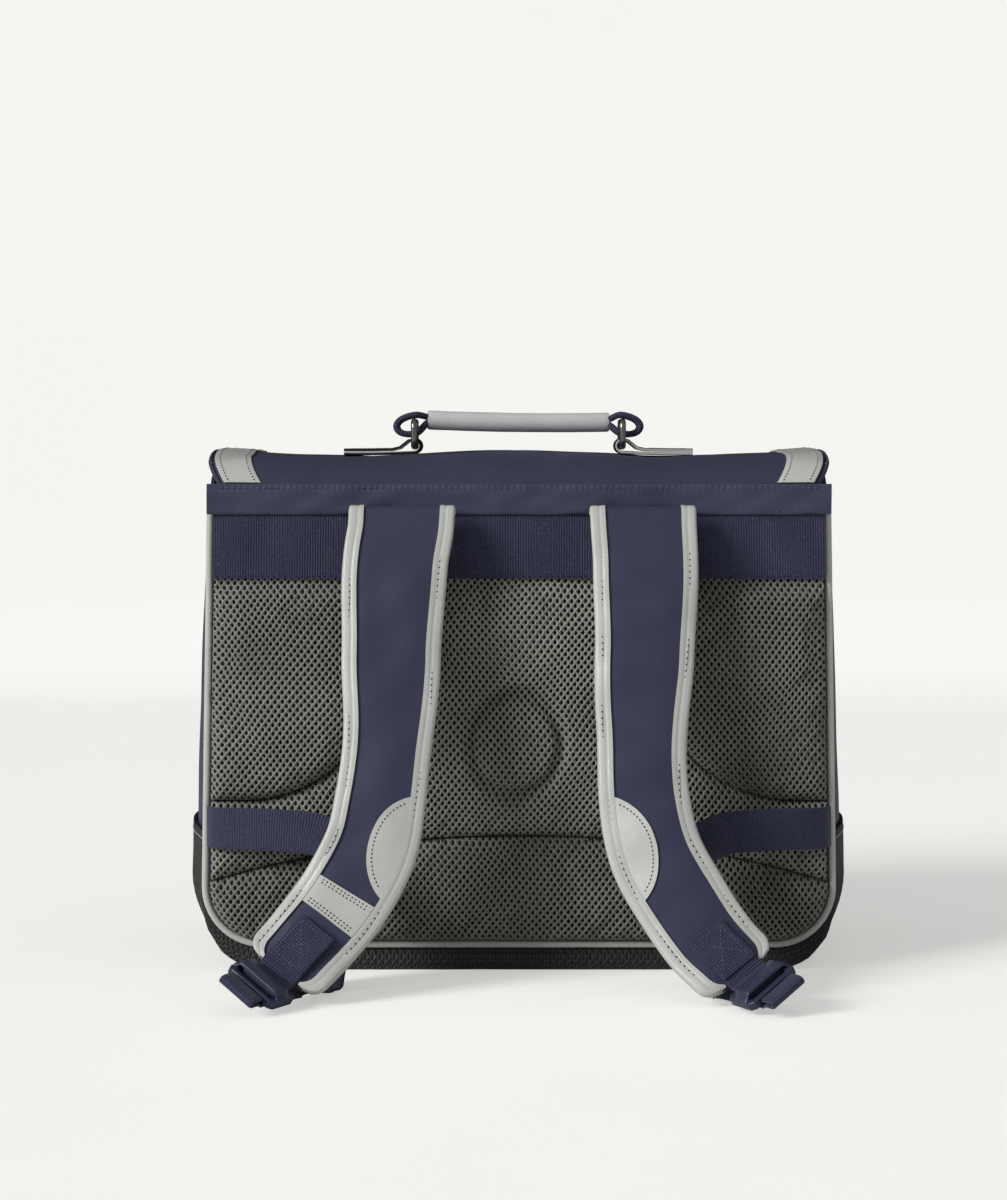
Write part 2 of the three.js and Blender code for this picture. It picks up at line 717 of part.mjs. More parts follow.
// The frame, half width and thickness of a strap at a share of its length
function strapStop(curve, along) {
  const length = curve.getLength();
  const point = curve.getPointAt(along);
  const tangent = curve.getTangentAt(along);
  const across = new THREE.Vector3(1, 0, 0).addScaledVector(tangent, -tangent.x).normalize();
  const up = tangent.clone().cross(across).normalize();
  const toGo = (1 - along) * length;
  const rounding = strapEndRadius * (1 - roundOff(toGo / strapEndRadius));
  const half = (strapWidth * easedTable(strapWidths, along)) / 2 - rounding;
  const padding = smooth((along - paddingStart) / (paddingFull - paddingStart));
  const taper = lerp(strapEndThickness, strapThickness, smooth(toGo / strapEndTaper));
  const thickness = lerp(strapRootThickness, taper, padding);
  return { point, tangent, across, up, half, thickness, toGo };
}

function strapCurve(side, rows) {
  return new THREE.CatmullRomCurve3(
    rows.map(
      (row) =>
        new THREE.Vector3(
          side * row.side * seamHalfWidth,
          strapRootY - row.out * strapReach,
          row.up * strapTop,
        ),
    ),
  );
}

function strapStops(curve) {
  const rounding = strapEndRadius / curve.getLength();
  const ends = strapEndShares.map((share) => 1 - share * rounding);
  return [...strapShares, ...ends].map((along) => strapStop(curve, along));
}

// A point beside the strap's centreline: x across, then a lift along its normal.
function strapPoint(stop, x, lift) {
  return stop.point.clone().addScaledVector(stop.across, x).addScaledVector(stop.up, lift);
}
const bodyHalf = (stop) => stop.half - bindingThickness - bindingClear;
function strapFace(stops, sign, lift = 0) {
  return (i, j) => {
    const { place, share } = strapCrown[i];
    const height = sign * ((share * stops[j].thickness) / 2 + lift);
    return strapPoint(stops[j], place * bodyHalf(stops[j]), height).toArray();
  };
}

// Thickness share of the strap's body at a distance x from its middle
function crownAt(stop, x) {
  const place = Math.min(1, Math.abs(x) / bodyHalf(stop));
  const next = strapCrown.findIndex((row) => row.place >= place);
  const [low, high] = [strapCrown[next - 1], strapCrown[next]];
  return lerp(low.share, high.share, (place - low.place) / (high.place - low.place));
}

// Binding: a tape folded round one edge of the strap
const bindingInner = (stop) => Math.max(stop.half - bindingWidth, webbingWidth / 2 + 2 * gap);
function strapBinding(stops, edge) {
  const face = (lift) => (i, j) => {
    const stop = stops[j];
    const rim = bodyHalf(stop) + lift;
    const start = Math.min(bindingInner(stop), rim - 2 * bindingThickness);
    const startHeight = (crownAt(stop, start) * stop.thickness) / 2 + lift;
    const rimHeight = (strapCrown[0].share * stop.thickness) / 2 + lift;
    const [x, height] = [
      [start, startHeight],
      [rim, rimHeight],
      [rim, -rimHeight],
      [start, -startHeight],
    ][i];
    return strapPoint(stop, edge * x, height).toArray();
  };
  return sheetSolid(face(bindingClear + bindingThickness), face(bindingClear), 3, stops.length - 1);
}

// The part of a thin layer on the strap's face, between its bindings, that lies inside a cutter
const layerColumns = 6;
function faceLayer(stops, cutter) {
  const face = (lift) => (i, j) => {
    const stop = stops[j];
    const x = ((2 * i) / layerColumns - 1) * (bindingInner(stop) - gap);
    return strapPoint(stop, x, (crownAt(stop, x) * stop.thickness) / 2 + lift).toArray();
  };
  const layer = sheetSolid(face(gap + patchThickness), face(gap), layerColumns, stops.length - 1);
  return fromManifold(toManifold(layer).intersect(cutter));
}

// A cutter placed on the strap: x along it, y across and z off its face
function cutterOn(stop, geometry) {
  const matrix = new THREE.Matrix4().makeBasis(stop.tangent, stop.across, stop.up);
  return toManifold(geometry.applyMatrix4(matrix.setPosition(stop.point)));
}

// A closed prism over a flat outline, reaching through the strap's face
function prism(outline, height) {
  const rings = [-height / 2, height / 2].map((z) => outline.map(([x, y]) => new THREE.Vector3(x, y, z)));
  return loftSolid(rings);
}

function addStrap(suffix, side, rows) {
  const curve = strapCurve(side, rows);
  const stops = strapStops(curve);
  const body = sheetSolid(
    strapFace(stops, 1),
    strapFace(stops, -1),
    strapCrown.length - 1,
    stops.length - 1,
  );
  addMesh(`strap_${suffix}`, body, colours.navy);
  for (const [edgeName, edge] of [
    ["outer", side],
    ["inner", -side],
  ])
    addMesh(`strap_binding_${suffix}_${edgeName}`, strapBinding(stops, edge), colours.reflective);

  // Half-round patch against the inner binding
  const patchStop = strapStop(curve, patchShare);
  const circle = Array.from({ length: 24 }, (unused, k) => {
    const turn = (k / 24) * 2 * Math.PI;
    const reach = patchStop.half - patchRadius * Math.cos(turn);
    return [patchRadius * Math.sin(turn), -side * reach];
  });
  addMesh(
    `strap_patch_${suffix}`,
    faceLayer(stops, cutterOn(patchStop, prism(circle, 2 * strapThickness))),
    colours.reflective,
  );
  return { curve, stops };
}

const leftStrap = addStrap("left", -1, leftStrapRows);
const rightStrap = addStrap("right", 1, rightStrapRows);

// Plain label band across the left strap, between the bindings
const labelOutline = [
  [-labelWidth / 2, -strapWidth],
  [labelWidth / 2, -strapWidth],
  [labelWidth / 2, strapWidth],
  [-labelWidth / 2, strapWidth],
];
const labelCutter = cutterOn(
  strapStop(leftStrap.curve, labelShare),
  prism(labelOutline, 3 * strapThickness),
);
addMesh("strap_label", faceLayer(leftStrap.stops, labelCutter), colours.reflective);

// Ladder locks, the webbing that holds them and the webbing that runs through them

const lockLength = 3 * lockBar + 2 * lockSlot;
const lockWidth = webbingWidth + 1 + 2 * lockRail;

// The lock's frame: it hangs past the strap's end, points forward and out, and leans on its
// inner end.
function lockFrame(end, side) {
  const forward = new THREE.Vector3(side * Math.sin(lockYaw), -Math.cos(lockYaw), 0);
  const level = new THREE.Vector3(Math.cos(lockYaw), side * Math.sin(lockYaw), 0);
  const along = forward.clone();
  const across = level
    .clone()
    .multiplyScalar(Math.cos(lockLean))
    .addScaledVector(new THREE.Vector3(0, 0, side), Math.sin(lockLean));
  const up = along.clone().cross(across).normalize();
  const origin = end.point.clone().addScaledVector(end.tangent, lockOffset);
  origin.addScaledVector(up, (lockHeight - origin.z) / up.z);
  const at = (t, n) => origin.clone().addScaledVector(along, t).addScaledVector(up, n);
  return { along, across, up, origin, at };
}

function addLock(suffix, frame) {
  const half = lockWidth / 2;
  const back = -lockBar / 2;
  const front = back + lockLength;
  const outline = [
    [half - lockChamfer, back],
    [half, back + lockChamfer],
    [half, front - lockChamfer],
    [half - lockChamfer, front],
    [lockChamfer - half, front],
    [-half, front - lockChamfer],
    [-half, back + lockChamfer],
    [lockChamfer - half, back],
  ];
  const shape = new THREE.Shape(outline.map(([x, y]) => new THREE.Vector2(x, y)));
  const slotHalf = half - lockRail;
  for (const start of [lockBar / 2, (3 * lockBar) / 2 + lockSlot])
    shape.holes.push(
      new THREE.Path([
        new THREE.Vector2(-slotHalf, start),
        new THREE.Vector2(-slotHalf, start + lockSlot),
        new THREE.Vector2(slotHalf, start + lockSlot),
        new THREE.Vector2(slotHalf, start),
      ]),
    );
  const geometry = new THREE.ExtrudeGeometry(shape, { depth: lockThickness, bevelEnabled: false });
  geometry.translate(0, 0, -lockThickness / 2);
  const mesh = addMesh(`ladder_lock_${suffix}`, geometry, colours.navyPlastic);
  const side = frame.across.clone().negate();
  mesh.setRotationFromMatrix(new THREE.Matrix4().makeBasis(side, frame.along, frame.up));
  mesh.position.copy(frame.origin);
}

const bandHalf = webbingThickness / 2;
const besideBar = lockBar / 2 + gap + bandHalf; // middle of a bar to webbing beside it
const overLock = lockThickness / 2 + 1.5 * gap + bandHalf; // middle of the lock to webbing on it
const barTurn = 1.1; // size of the webbing's turn round the corner of a bar

// Sewn on the strap's face, then round the lock's first bar and back to the strap's end
function addEndWebbing(suffix, stops, frame) {
  const onFace = stops
    .filter((stop) => stop.toGo <= endWebbingLength)
    .map((stop) => ({
      point: strapPoint(stop, 0, stop.thickness / 2 + 1.5 * gap + bandHalf),
      across: stop.across,
    }));
  const last = onFace[onFace.length - 1];
  const past = last.point.clone().addScaledVector(stops[stops.length - 1].tangent, lockOffset / 3);
  onFace.push({ point: past, across: last.across });
  const round = [
    [-besideBar, overLock],
    [besideBar - barTurn, overLock],
    [besideBar, overLock - barTurn],
    [besideBar, barTurn - overLock],
    [besideBar - barTurn, -overLock],
    [-endWebbingTail, -overLock],
  ].map(([t, n]) => ({ point: frame.at(t, n), across: frame.across }));
  const path = [...onFace, ...round].map((stop) => ({ ...stop, width: webbingWidth }));
  addMesh(`strap_end_webbing_${suffix}`, ribbon(path, webbingThickness), colours.navyWebbing);
}

// From the side seam, in a slack loop behind the strap, through the lock to a folded end.
// side, out and up are shares of the seam's half width, the strap's reach and the anchor's height.
const lowerLoop = [
  { side: 0.972, out: 0.01, up: 1, across: [0, 0, 1] },
  { side: 0.945, out: 0.05, up: 1, across: [0, 0, 1] },
  { side: 0.87, out: 0.11, up: 1.005, across: [0, 0.05, 1] },
  { side: 0.76, out: 0.18, up: 1.005, across: [0, 0.1, 1] },
  { side: 0.62, out: 0.26, up: 0.98, across: [0, 0.3, 0.95] },
  { side: 0.545, out: 0.33, up: 0.86, across: [0.1, 0.65, 0.75] },
  { side: 0.525, out: 0.38, up: 0.62, across: [0.15, 0.9, 0.35] },
  { side: 0.54, out: 0.41, up: 0.36, across: [0.2, 0.95, 0.15] },
  { side: 0.565, out: 0.45, up: 0.14, across: [0.4, 0.9, 0.05] },
  { side: 0.59, out: 0.51, up: 0.035, across: [0.6, 0.8, 0] },
  { side: 0.62, out: 0.61, up: 0.03, across: [0.8, 0.6, 0] },
  { side: 0.645, out: 0.72, up: 0.055, across: [0.85, 0.5, 0.12] },
];
const lowerLoopSteps = 28;
const tailReach = 12; // how far the folded end stands out past the lock

function addLowerWebbing(suffix, side, frame) {
  const anchor = new THREE.Vector3(
    side * (padHalfWidthAt(lowerAnchorHeight) + 1),
    padBack - padBackingHeight - gap,
    lowerAnchorHeight,
  );
  const loopPoints = lowerLoop.map(
    (row) =>
      new THREE.Vector3(
        side * row.side * seamHalfWidth,
        strapRootY - row.out * strapReach,
        row.up * lowerAnchorHeight,
      ),
  );
  const centreBar = lockBar + lockSlot;
  const lockEnd = lockLength - lockBar / 2;
  const under = overLock + webbingThickness + 2 * gap;
  const firstSlot = centreBar - besideBar;
  const approach = [
    [-lockLength, -under - 1],
    [-lockBar, -under],
    [firstSlot - 3.5, -under],
    [firstSlot - 0.8, barTurn / 2 - under],
  ];
  const curve = new THREE.CatmullRomCurve3([
    anchor,
    ...loopPoints,
    ...approach.map(([t, n]) => frame.at(t, n)),
  ]);
  const turns = [
    lowerLoop[0].across,
    ...lowerLoop.map((row) => row.across),
  ].map(([x, y, z]) => new THREE.Vector3(side * x, y, z));
  // A width direction has no sign, so the lock's own is taken the way the loop's points.
  const lockAcross = frame.across.clone().multiplyScalar(side);
  const frames = [...turns, ...approach.map(() => lockAcross)];
  const loop = Array.from({ length: lowerLoopSteps }, (unused, k) => {
    const t = k / (lowerLoopSteps - 1);
    const place = t * (frames.length - 1);
    const low = Math.min(frames.length - 2, Math.floor(place));
    return { point: curve.getPoint(t), across: frames[low].clone().lerp(frames[low + 1], place - low) };
  });
  const secondSlot = centreBar + besideBar;
  const tail = lockEnd + tailReach;
  const tailTurn = webbingThickness + gap;
  const through = [
    [firstSlot, barTurn - overLock],
    [firstSlot, overLock - barTurn],
    [firstSlot + barTurn, overLock],
    [secondSlot - barTurn, overLock],
    [secondSlot, overLock - barTurn],
    [secondSlot, barTurn - overLock],
    [secondSlot + barTurn, -overLock],
    [lockEnd, -overLock],
    [lockEnd + 3, -tailTurn],
    [tail - 2, -tailTurn],
    [tail - 0.4, -tailTurn * 0.7],
    [tail, 0],
    [tail - 0.4, tailTurn * 0.7],
    [tail - 2, tailTurn],
    [lockEnd + 3, tailTurn],
  ].map(([t, n]) => ({ point: frame.at(t, n), across: lockAcross }));
  const path = [...loop, ...through].map((stop) => ({ ...stop, width: webbingWidth }));
  addMesh(`lower_webbing_${suffix}`, ribbon(path, webbingThickness), colours.navyWebbing);
}

for (const [suffix, side, { stops }] of [
  ["left", -1, leftStrap],
  ["right", 1, rightStrap],
]) {
  const frame = lockFrame(stops[stops.length - 1], side);
  addLock(suffix, frame);
  addEndWebbing(suffix, stops, frame);
  addLowerWebbing(suffix, side, frame);
}

// Carrying handle: grip, webbing loops, rings and the tabs sewn on the flap

const tabHalf = tabThickness / 2;
const tabLeafZ = (x) => flapTop + flapWaveAt(x) + 1.5 * gap + tabHalf; // middle of its lower leaf
const tabLoopZ = tabLeafZ(ringHalfSpan) + tabLoopRadius;
const ringBottomZ = tabLoopZ - tabLoopRadius + tabHalf + 2 * gap + ringWire;
const ringTopZ = ringBottomZ + ringHeight - 2 * ringWire;
const gripHeight = ringTopZ + gripRise;
const sideways = new THREE.Vector3(0, 1, 0);

function ringPath(x) {
  const halfWide = ringInnerWidth / 2 + ringWire;
  const halfTall = (ringTopZ - ringBottomZ) / 2;
  const middleZ = (ringTopZ + ringBottomZ) / 2;
  const path = [];
  for (const [sy, sz, start] of [
    [1, 1, 0],
    [-1, 1, 1],
    [-1, -1, 2],
    [1, -1, 3],
  ])
    for (let k = 0; k <= 3; k++) {
      const turn = (start + k / 3) * (Math.PI / 2);
      const normal = new THREE.Vector3(0, Math.cos(turn), Math.sin(turn));
      const centre = new THREE.Vector3(x, sy * (halfWide - ringBend), middleZ + sz * (halfTall - ringBend));
      path.push({ point: centre.addScaledVector(normal, ringBend), normal });
    }
  return path;
}

// Tab: folded round the ring's lower bar, both ends sewn to the flap
function addTab(suffix, side) {
  const loopX = ringHalfSpan;
  const outerEnd = ringHalfSpan + tabLength;
  const pastLoop = (radii) => loopX + radii * tabLoopRadius;
  const leaf = (x, layer) => [x, tabLeafZ(x) + layer * (tabThickness + gap)];
  const round = Array.from({ length: 9 }, (unused, k) => {
    const turn = Math.PI * (0.62 + (k * 0.88) / 8);
    return [loopX + tabLoopRadius * Math.cos(turn), tabLoopZ + tabLoopRadius * Math.sin(turn)];
  });
  const path = [
    leaf(outerEnd, 1),
    leaf(loopX + tabLength / 2, 1),
    leaf(pastLoop(3.5), 1),
    [pastLoop(2.25), leaf(pastLoop(2.25), 1)[1] + tabLoopRadius / 4],
    [pastLoop(0.9), tabLoopZ + tabLoopRadius * 0.8],
    ...round,
    leaf(pastLoop(1.5), 0),
    leaf(pastLoop(3.5), 0),
    leaf(loopX + tabLength / 2, 0),
    leaf(outerEnd, 0),
  ].map(([x, z]) => ({ point: new THREE.Vector3(side * x, 0, z), across: sideways, width: tabWidth }));
  addMesh(`handle_tab_${suffix}`, ribbon(path, tabThickness), colours.reflective);
}

// Webbing loop at one end of the grip, hanging on the ring's upper bar
function addHandleLoop(suffix, side) {
  const start = gripLength / 2 + gap;
  const half = loopWebbingThickness / 2;
  const topZ = ringTopZ + ringWire + gap + half;
  const upper = gripHeight + half + gap;
  const lower = gripHeight - half - gap;
  const rows = [
    { x: start, z: upper, width: gripEndWidth },
    { x: start + 0.8 * half, z: upper, width: 1.2 * gripEndWidth },
    ...[
      { out: -0.09, down: 0 },
      { out: 0.45, down: 0.12 },
      { out: 0.82, down: 0.34 },
      { out: 0.95, down: 0.6 },
      { out: 0.82, down: 0.86 },
      { out: 0.45, down: 1 },
      { out: -0.09, down: 0.94 },
    ].map(({ out, down }) => ({
      x: ringHalfSpan + out * loopHeight,
      z: topZ - down * loopHeight,
      width: loopWebbingWidth,
    })),
    { x: start + 0.8 * half, z: lower, width: 1.2 * gripEndWidth },
    { x: start, z: lower, width: gripEndWidth },
  ];
  const path = rows.map(({ x, z, width }) => ({
    point: new THREE.Vector3(side * x, 0, z),
    across: sideways,
    width,
  }));
  addMesh(`handle_loop_${suffix}`, ribbon(path, loopWebbingThickness), colours.navyWebbing);
}

const grip = addMesh(
  "handle_grip",
  new THREE.CylinderGeometry(gripRadius, gripRadius, gripLength, 16),
  colours.grip,
);
grip.rotation.z = Math.PI / 2;
grip.position.z = gripHeight;
for (const [suffix, side] of [
  ["left", -1],
  ["right", 1],
]) {
  const path = ringPath(side * ringHalfSpan);
  const wire = planarTube(path, new THREE.Vector3(1, 0, 0), ringWire, 6, true);
  addMesh(`handle_ring_${suffix}`, wire, colours.steel);
  addTab(suffix, side);
  addHandleLoop(suffix, side);
}

// Plain clasps that hold the flap's lower edge to the front

const claspBack = flapFrontY + gap;
const claspFootY = seamY + clothWall / 2 + frontBulge + gap;
const claspTopZ = flapHem + claspOverlap;
const edgeClear = edgingWidth + 3 * gap;
for (const [name, side] of [
  ["clasp_left", -1],
  ["clasp_right", 1],
]) {
  const profile = new THREE.Shape();
  const front = claspBack + stripThickness + claspThickness;
  profile.moveTo(claspBack + stripThickness, claspTopZ);
  profile.lineTo(front, claspTopZ - 2);
  profile.lineTo(front, claspTopZ - claspHeight + 2);
  profile.lineTo(front - 2, claspTopZ - claspHeight);
  profile.lineTo(claspFootY, claspTopZ - claspHeight);
  profile.lineTo(claspFootY, flapHem - edgeClear);
  profile.lineTo(claspBack + stripThickness, flapHem - edgeClear);
  const geometry = new THREE.ExtrudeGeometry(profile, { depth: claspWidth, bevelEnabled: false });
  geometry.translate(0, 0, -claspWidth / 2);
  const mesh = addMesh(name, geometry, colours.navyPlastic);
  // The profile is drawn as depth and height, and its extrusion runs across the bag.
  mesh.setRotationFromMatrix(
    new THREE.Matrix4().makeBasis(
      new THREE.Vector3(0, 1, 0),
      new THREE.Vector3(0, 0, 1),
      new THREE.Vector3(1, 0, 0),
    ),
  );
  mesh.position.x = side * claspHalfSpan;
}

export default part;
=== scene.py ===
import math

import bmesh
import bpy
import numpy as np
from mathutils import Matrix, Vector


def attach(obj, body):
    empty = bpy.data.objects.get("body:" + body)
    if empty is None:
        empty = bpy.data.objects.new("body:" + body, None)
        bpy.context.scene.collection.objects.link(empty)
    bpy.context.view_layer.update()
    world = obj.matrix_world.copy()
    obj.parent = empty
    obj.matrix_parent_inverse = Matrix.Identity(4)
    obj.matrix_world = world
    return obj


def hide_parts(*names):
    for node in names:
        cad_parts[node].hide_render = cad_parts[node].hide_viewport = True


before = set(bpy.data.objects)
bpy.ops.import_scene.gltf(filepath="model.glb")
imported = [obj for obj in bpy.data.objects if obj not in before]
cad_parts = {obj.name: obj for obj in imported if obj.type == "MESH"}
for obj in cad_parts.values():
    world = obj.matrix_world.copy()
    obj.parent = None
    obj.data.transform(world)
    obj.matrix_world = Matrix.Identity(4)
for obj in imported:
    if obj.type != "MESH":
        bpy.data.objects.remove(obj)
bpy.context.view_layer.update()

scene = bpy.context.scene
print("frame loaded:", len(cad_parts), "nodes")

# Lengths below are in millimetres, and become metres when a mesh is made.
millimetre = 0.001


def mix(low, high, share):
    # The value at a share of the way: low + (high - low) * share.
    return low + (high - low) * share


def clamp01(value):
    # The value, held between 0 and 1.
    return np.clip(value, 0.0, 1.0)


def smooth(share):
    # An eased step from 0 to 1: three times the square less twice the cube.
    share = clamp01(share)
    return share * share * (3 - 2 * share)


def roundOff(share):
    # A quarter circle: 0 at 0, 1 at 1, steep at first.
    return np.sqrt(1 - (1 - clamp01(share)) ** 2)


def unit(vectors):
    # Each vector divided by its own length.
    return vectors / np.maximum(np.linalg.norm(vectors, axis=-1, keepdims=True), 1e-9)


def spread(*arrays):
    # Stacks coordinates of any matching shapes as points.
    return np.stack(np.broadcast_arrays(*[np.asarray(a, float) for a in arrays]), axis=-1)


def ripple(a, b, wave, seed, count=9):
    # Soft noise from -1 to 1: the mean of sine waves in seeded directions, about one wave length each.
    random = np.random.default_rng(seed)
    turn = random.uniform(0, 2 * math.pi, count)
    size = 2 * math.pi / (wave * random.uniform(0.7, 1.6, count))
    phase = random.uniform(0, 2 * math.pi, count)
    a, b = np.asarray(a, float)[..., None], np.asarray(b, float)[..., None]
    waves = np.sin(size * (a * np.cos(turn) + b * np.sin(turn)) + phase)
    return waves.sum(axis=-1) / math.sqrt(count) / 1.6


def curveThrough(points, steps=24):
    # A centripetal Catmull-Rom curve: each span is a cubic whose end slopes come from its neighbours.
    points = np.asarray(points, float)
    whole = np.vstack([2 * points[0] - points[1], points, 2 * points[-1] - points[-2]])
    p0, p1, p2, p3 = whole[:-3], whole[1:-2], whole[2:-1], whole[3:]
    span = lambda a, b: np.maximum(np.sum((b - a) ** 2, axis=1, keepdims=True), 1e-9) ** 0.25
    d0, d1, d2 = span(p0, p1), span(p1, p2), span(p2, p3)
    t1 = ((p1 - p0) / d0 - (p2 - p0) / (d0 + d1) + (p2 - p1) / d1) * d1
    t2 = ((p2 - p1) / d1 - (p3 - p1) / (d1 + d2) + (p3 - p2) / d2) * d1
    u = (np.arange(steps) / steps)[None, :, None]
    a, b, s, e = p1[:, None], p2[:, None], t1[:, None], t2[:, None]
    body = a + s * u + (3 * b - 3 * a - 2 * s - e) * u**2 + (2 * a - 2 * b + s + e) * u**3
    return np.vstack([body.reshape(-1, points.shape[1]), points[-1:]])


def runLength(line):
    # Distance from the start: the running sum of the lengths of the steps.
    return np.concatenate([[0], np.cumsum(np.linalg.norm(np.diff(line, axis=0), axis=1))])


def atLength(line, values, places):
    # Values known along a line, read at distances from its start.
    run = runLength(line)
    values = np.asarray(values, float).reshape(len(run), -1)
    found = [np.interp(places, run, values[:, k]) for k in range(values.shape[1])]
    return np.stack(found, axis=-1)


def evenly(line, step):
    # The same line with its points at even distances, read between the old ones.
    length = runLength(line)[-1]
    count = max(2, int(round(length / step)) + 1)
    return atLength(line, line, np.linspace(0, length, count))


def tangents(line):
    # The direction along the line: the difference of the neighbours, at length 1.
    return unit(np.gradient(line, axis=0))


def gridPart(points, uv=None, wrapU=False, wrapV=False, material=0, orient=True):
    # A surface over two parameters: rows run along V and columns along U.
    rows, cols = points.shape[:2]
    if uv is None:
        across = np.linalg.norm(np.diff(points, axis=1), axis=2).mean(axis=0)
        along = np.linalg.norm(np.diff(points, axis=0), axis=2).mean(axis=1)
        u = np.concatenate([[0], np.cumsum(across), [across.sum() + across.mean()]])
        v = np.concatenate([[0], np.cumsum(along), [along.sum() + along.mean()]])
        uv = np.stack(np.meshgrid(u, v), axis=-1)
    i, j = np.meshgrid(
        np.arange(rows if wrapV else rows - 1), np.arange(cols if wrapU else cols - 1), indexing="ij"
    )
    corners = [(i, j), (i, j + 1), (i + 1, j + 1), (i + 1, j)]
    faces = np.stack([(a % rows) * cols + b % cols for a, b in corners], -1).reshape(-1, 4)
    faceUv = np.stack([uv[a, b] for a, b in corners], -2).reshape(-1, 4, 2)
    return {
        "points": points.reshape(-1, 3), "faces": [(faces, faceUv)], "material": material,
        "orient": orient,
    }


def tubePart(rings, uv=None, endless=False, material=0):
    # A closed form through rings of points, with flat ends unless it is endless.
    part = gridPart(rings, uv, wrapU=True, wrapV=endless, material=material)
    if not endless:
        rows, cols = rings.shape[:2]
        first = np.arange(cols)[::-1][None]
        last = (rows - 1) * cols + np.arange(cols)[None]
        for cap in (first, last):
            part["faces"].append((cap, np.zeros(cap.shape + (2,))))
    return part


def slabPart(outer, inner, material=0, innerMaterial=None):
    # A closed solid between two grids of points with the same rows and columns.
    rows, cols = outer.shape[:2]
    faces, faceUv = gridPart(outer)["faces"][0]
    count = rows * cols
    order = np.arange(rows * cols).reshape(rows, cols)
    rim = np.concatenate([order[0, :-1], order[:-1, -1], order[-1, :0:-1], order[:0:-1, 0]])
    after = np.roll(rim, -1)
    sides = np.stack([after, rim, rim + count, after + count], -1)
    flatUv = np.zeros((count, 2))
    flatUv[faces.reshape(-1)] = faceUv.reshape(-1, 2)
    sideUv = flatUv[sides % count]
    part = {
        "points": np.concatenate([outer.reshape(-1, 3), inner.reshape(-1, 3)]),
        "faces": [(faces, faceUv), (faces[:, ::-1] + count, faceUv[:, ::-1]), (sides, sideUv)],
        "material": material, "orient": True,
    }
    if innerMaterial is not None:
        part["faceMaterials"] = [material, innerMaterial, material]
    return part


def turnOutwards(part):
    # The sign of the volume says which way the faces turn.
    points = part["points"] - part["points"].mean(axis=0)
    volume = 0.0
    for faces, uv in part["faces"]:
        a = points[faces[:, 0]]
        for k in range(1, faces.shape[1] - 1):
            b, c = points[faces[:, k]], points[faces[:, k + 1]]
            volume += np.einsum("ij,ij->", a, np.cross(b, c))
    if volume < 0:
        part["faces"] = [(faces[:, ::-1], uv[:, ::-1]) for faces, uv in part["faces"]]


def makeMesh(name, parts, materials):
    # The points of the parts one after another; each part's faces count on from the points before it.
    starts = np.cumsum([0] + [len(part["points"]) for part in parts])
    loops, totals, uvs, picks = [], [], [], []
    for part, start in zip(parts, starts):
        if part.get("orient", True):
            turnOutwards(part)
        kinds = part.get("faceMaterials") or [part["material"]] * len(part["faces"])
        for (faces, uv), kind in zip(part["faces"], kinds):
            loops.append((faces + start).reshape(-1))
            totals.append(np.full(len(faces), faces.shape[1]))
            uvs.append(uv.reshape(-1, 2))
            picks.append(np.full(len(faces), kind))
    points = np.concatenate([part["points"] for part in parts]) * millimetre
    loops, totals = np.concatenate(loops), np.concatenate(totals)
    mesh = bpy.data.meshes.new(name)
    mesh.vertices.add(len(points))
    mesh.vertices.foreach_set("co", points.astype(np.float32).ravel())
    mesh.loops.add(len(loops))
    mesh.loops.foreach_set("vertex_index", loops.astype(np.int32))
    mesh.polygons.add(len(totals))
    mesh.polygons.foreach_set("loop_start", (np.cumsum(totals) - totals).astype(np.int32))
    mesh.polygons.foreach_set("material_index", np.concatenate(picks).astype(np.int32))
    mesh.polygons.foreach_set("use_smooth", np.ones(len(totals), bool))
    uvLayer = mesh.uv_layers.new(name="UVMap")
    uvLayer.data.foreach_set("uv", (np.concatenate(uvs) * millimetre).astype(np.float32).ravel())
    mesh.update(calc_edges=True)
    mesh.validate()
    for material in materials:
        mesh.materials.append(material)
    piece = bpy.data.objects.new(name, mesh)
    scene.collection.objects.link(piece)
    return piece


def addPiece(name, parts, materials, slotName, *nodes, fill=None, sharp=52.0):
    # Edges that turn by more than the sharp angle are shaded as edges; 180 keeps all of them smooth.
    piece = makeMesh(name, parts, materials)
    piece.data.set_sharp_from_angle(angle=math.radians(sharp))
    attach(piece, "root")
    if nodes:
        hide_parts(*nodes)
    return piece


def copyPart(shape, shapeFaces, origins, along, side, up, material=0):
    # The same small shape at many places, each with its own three directions.
    points = (
        origins[:, None]
        + along[:, None] * shape[None, :, 0:1]
        + side[:, None] * shape[None, :, 1:2]
        + up[:, None] * shape[None, :, 2:3]
    )
    step = (np.arange(len(origins)) * len(shape))[:, None, None]
    faces = []
    for group in shapeFaces:
        placed = (group[None] + step).reshape(-1, group.shape[1])
        faces.append((placed, np.zeros(placed.shape + (2,))))
    return {"points": points.reshape(-1, 3), "faces": faces, "material": material, "orient": True}


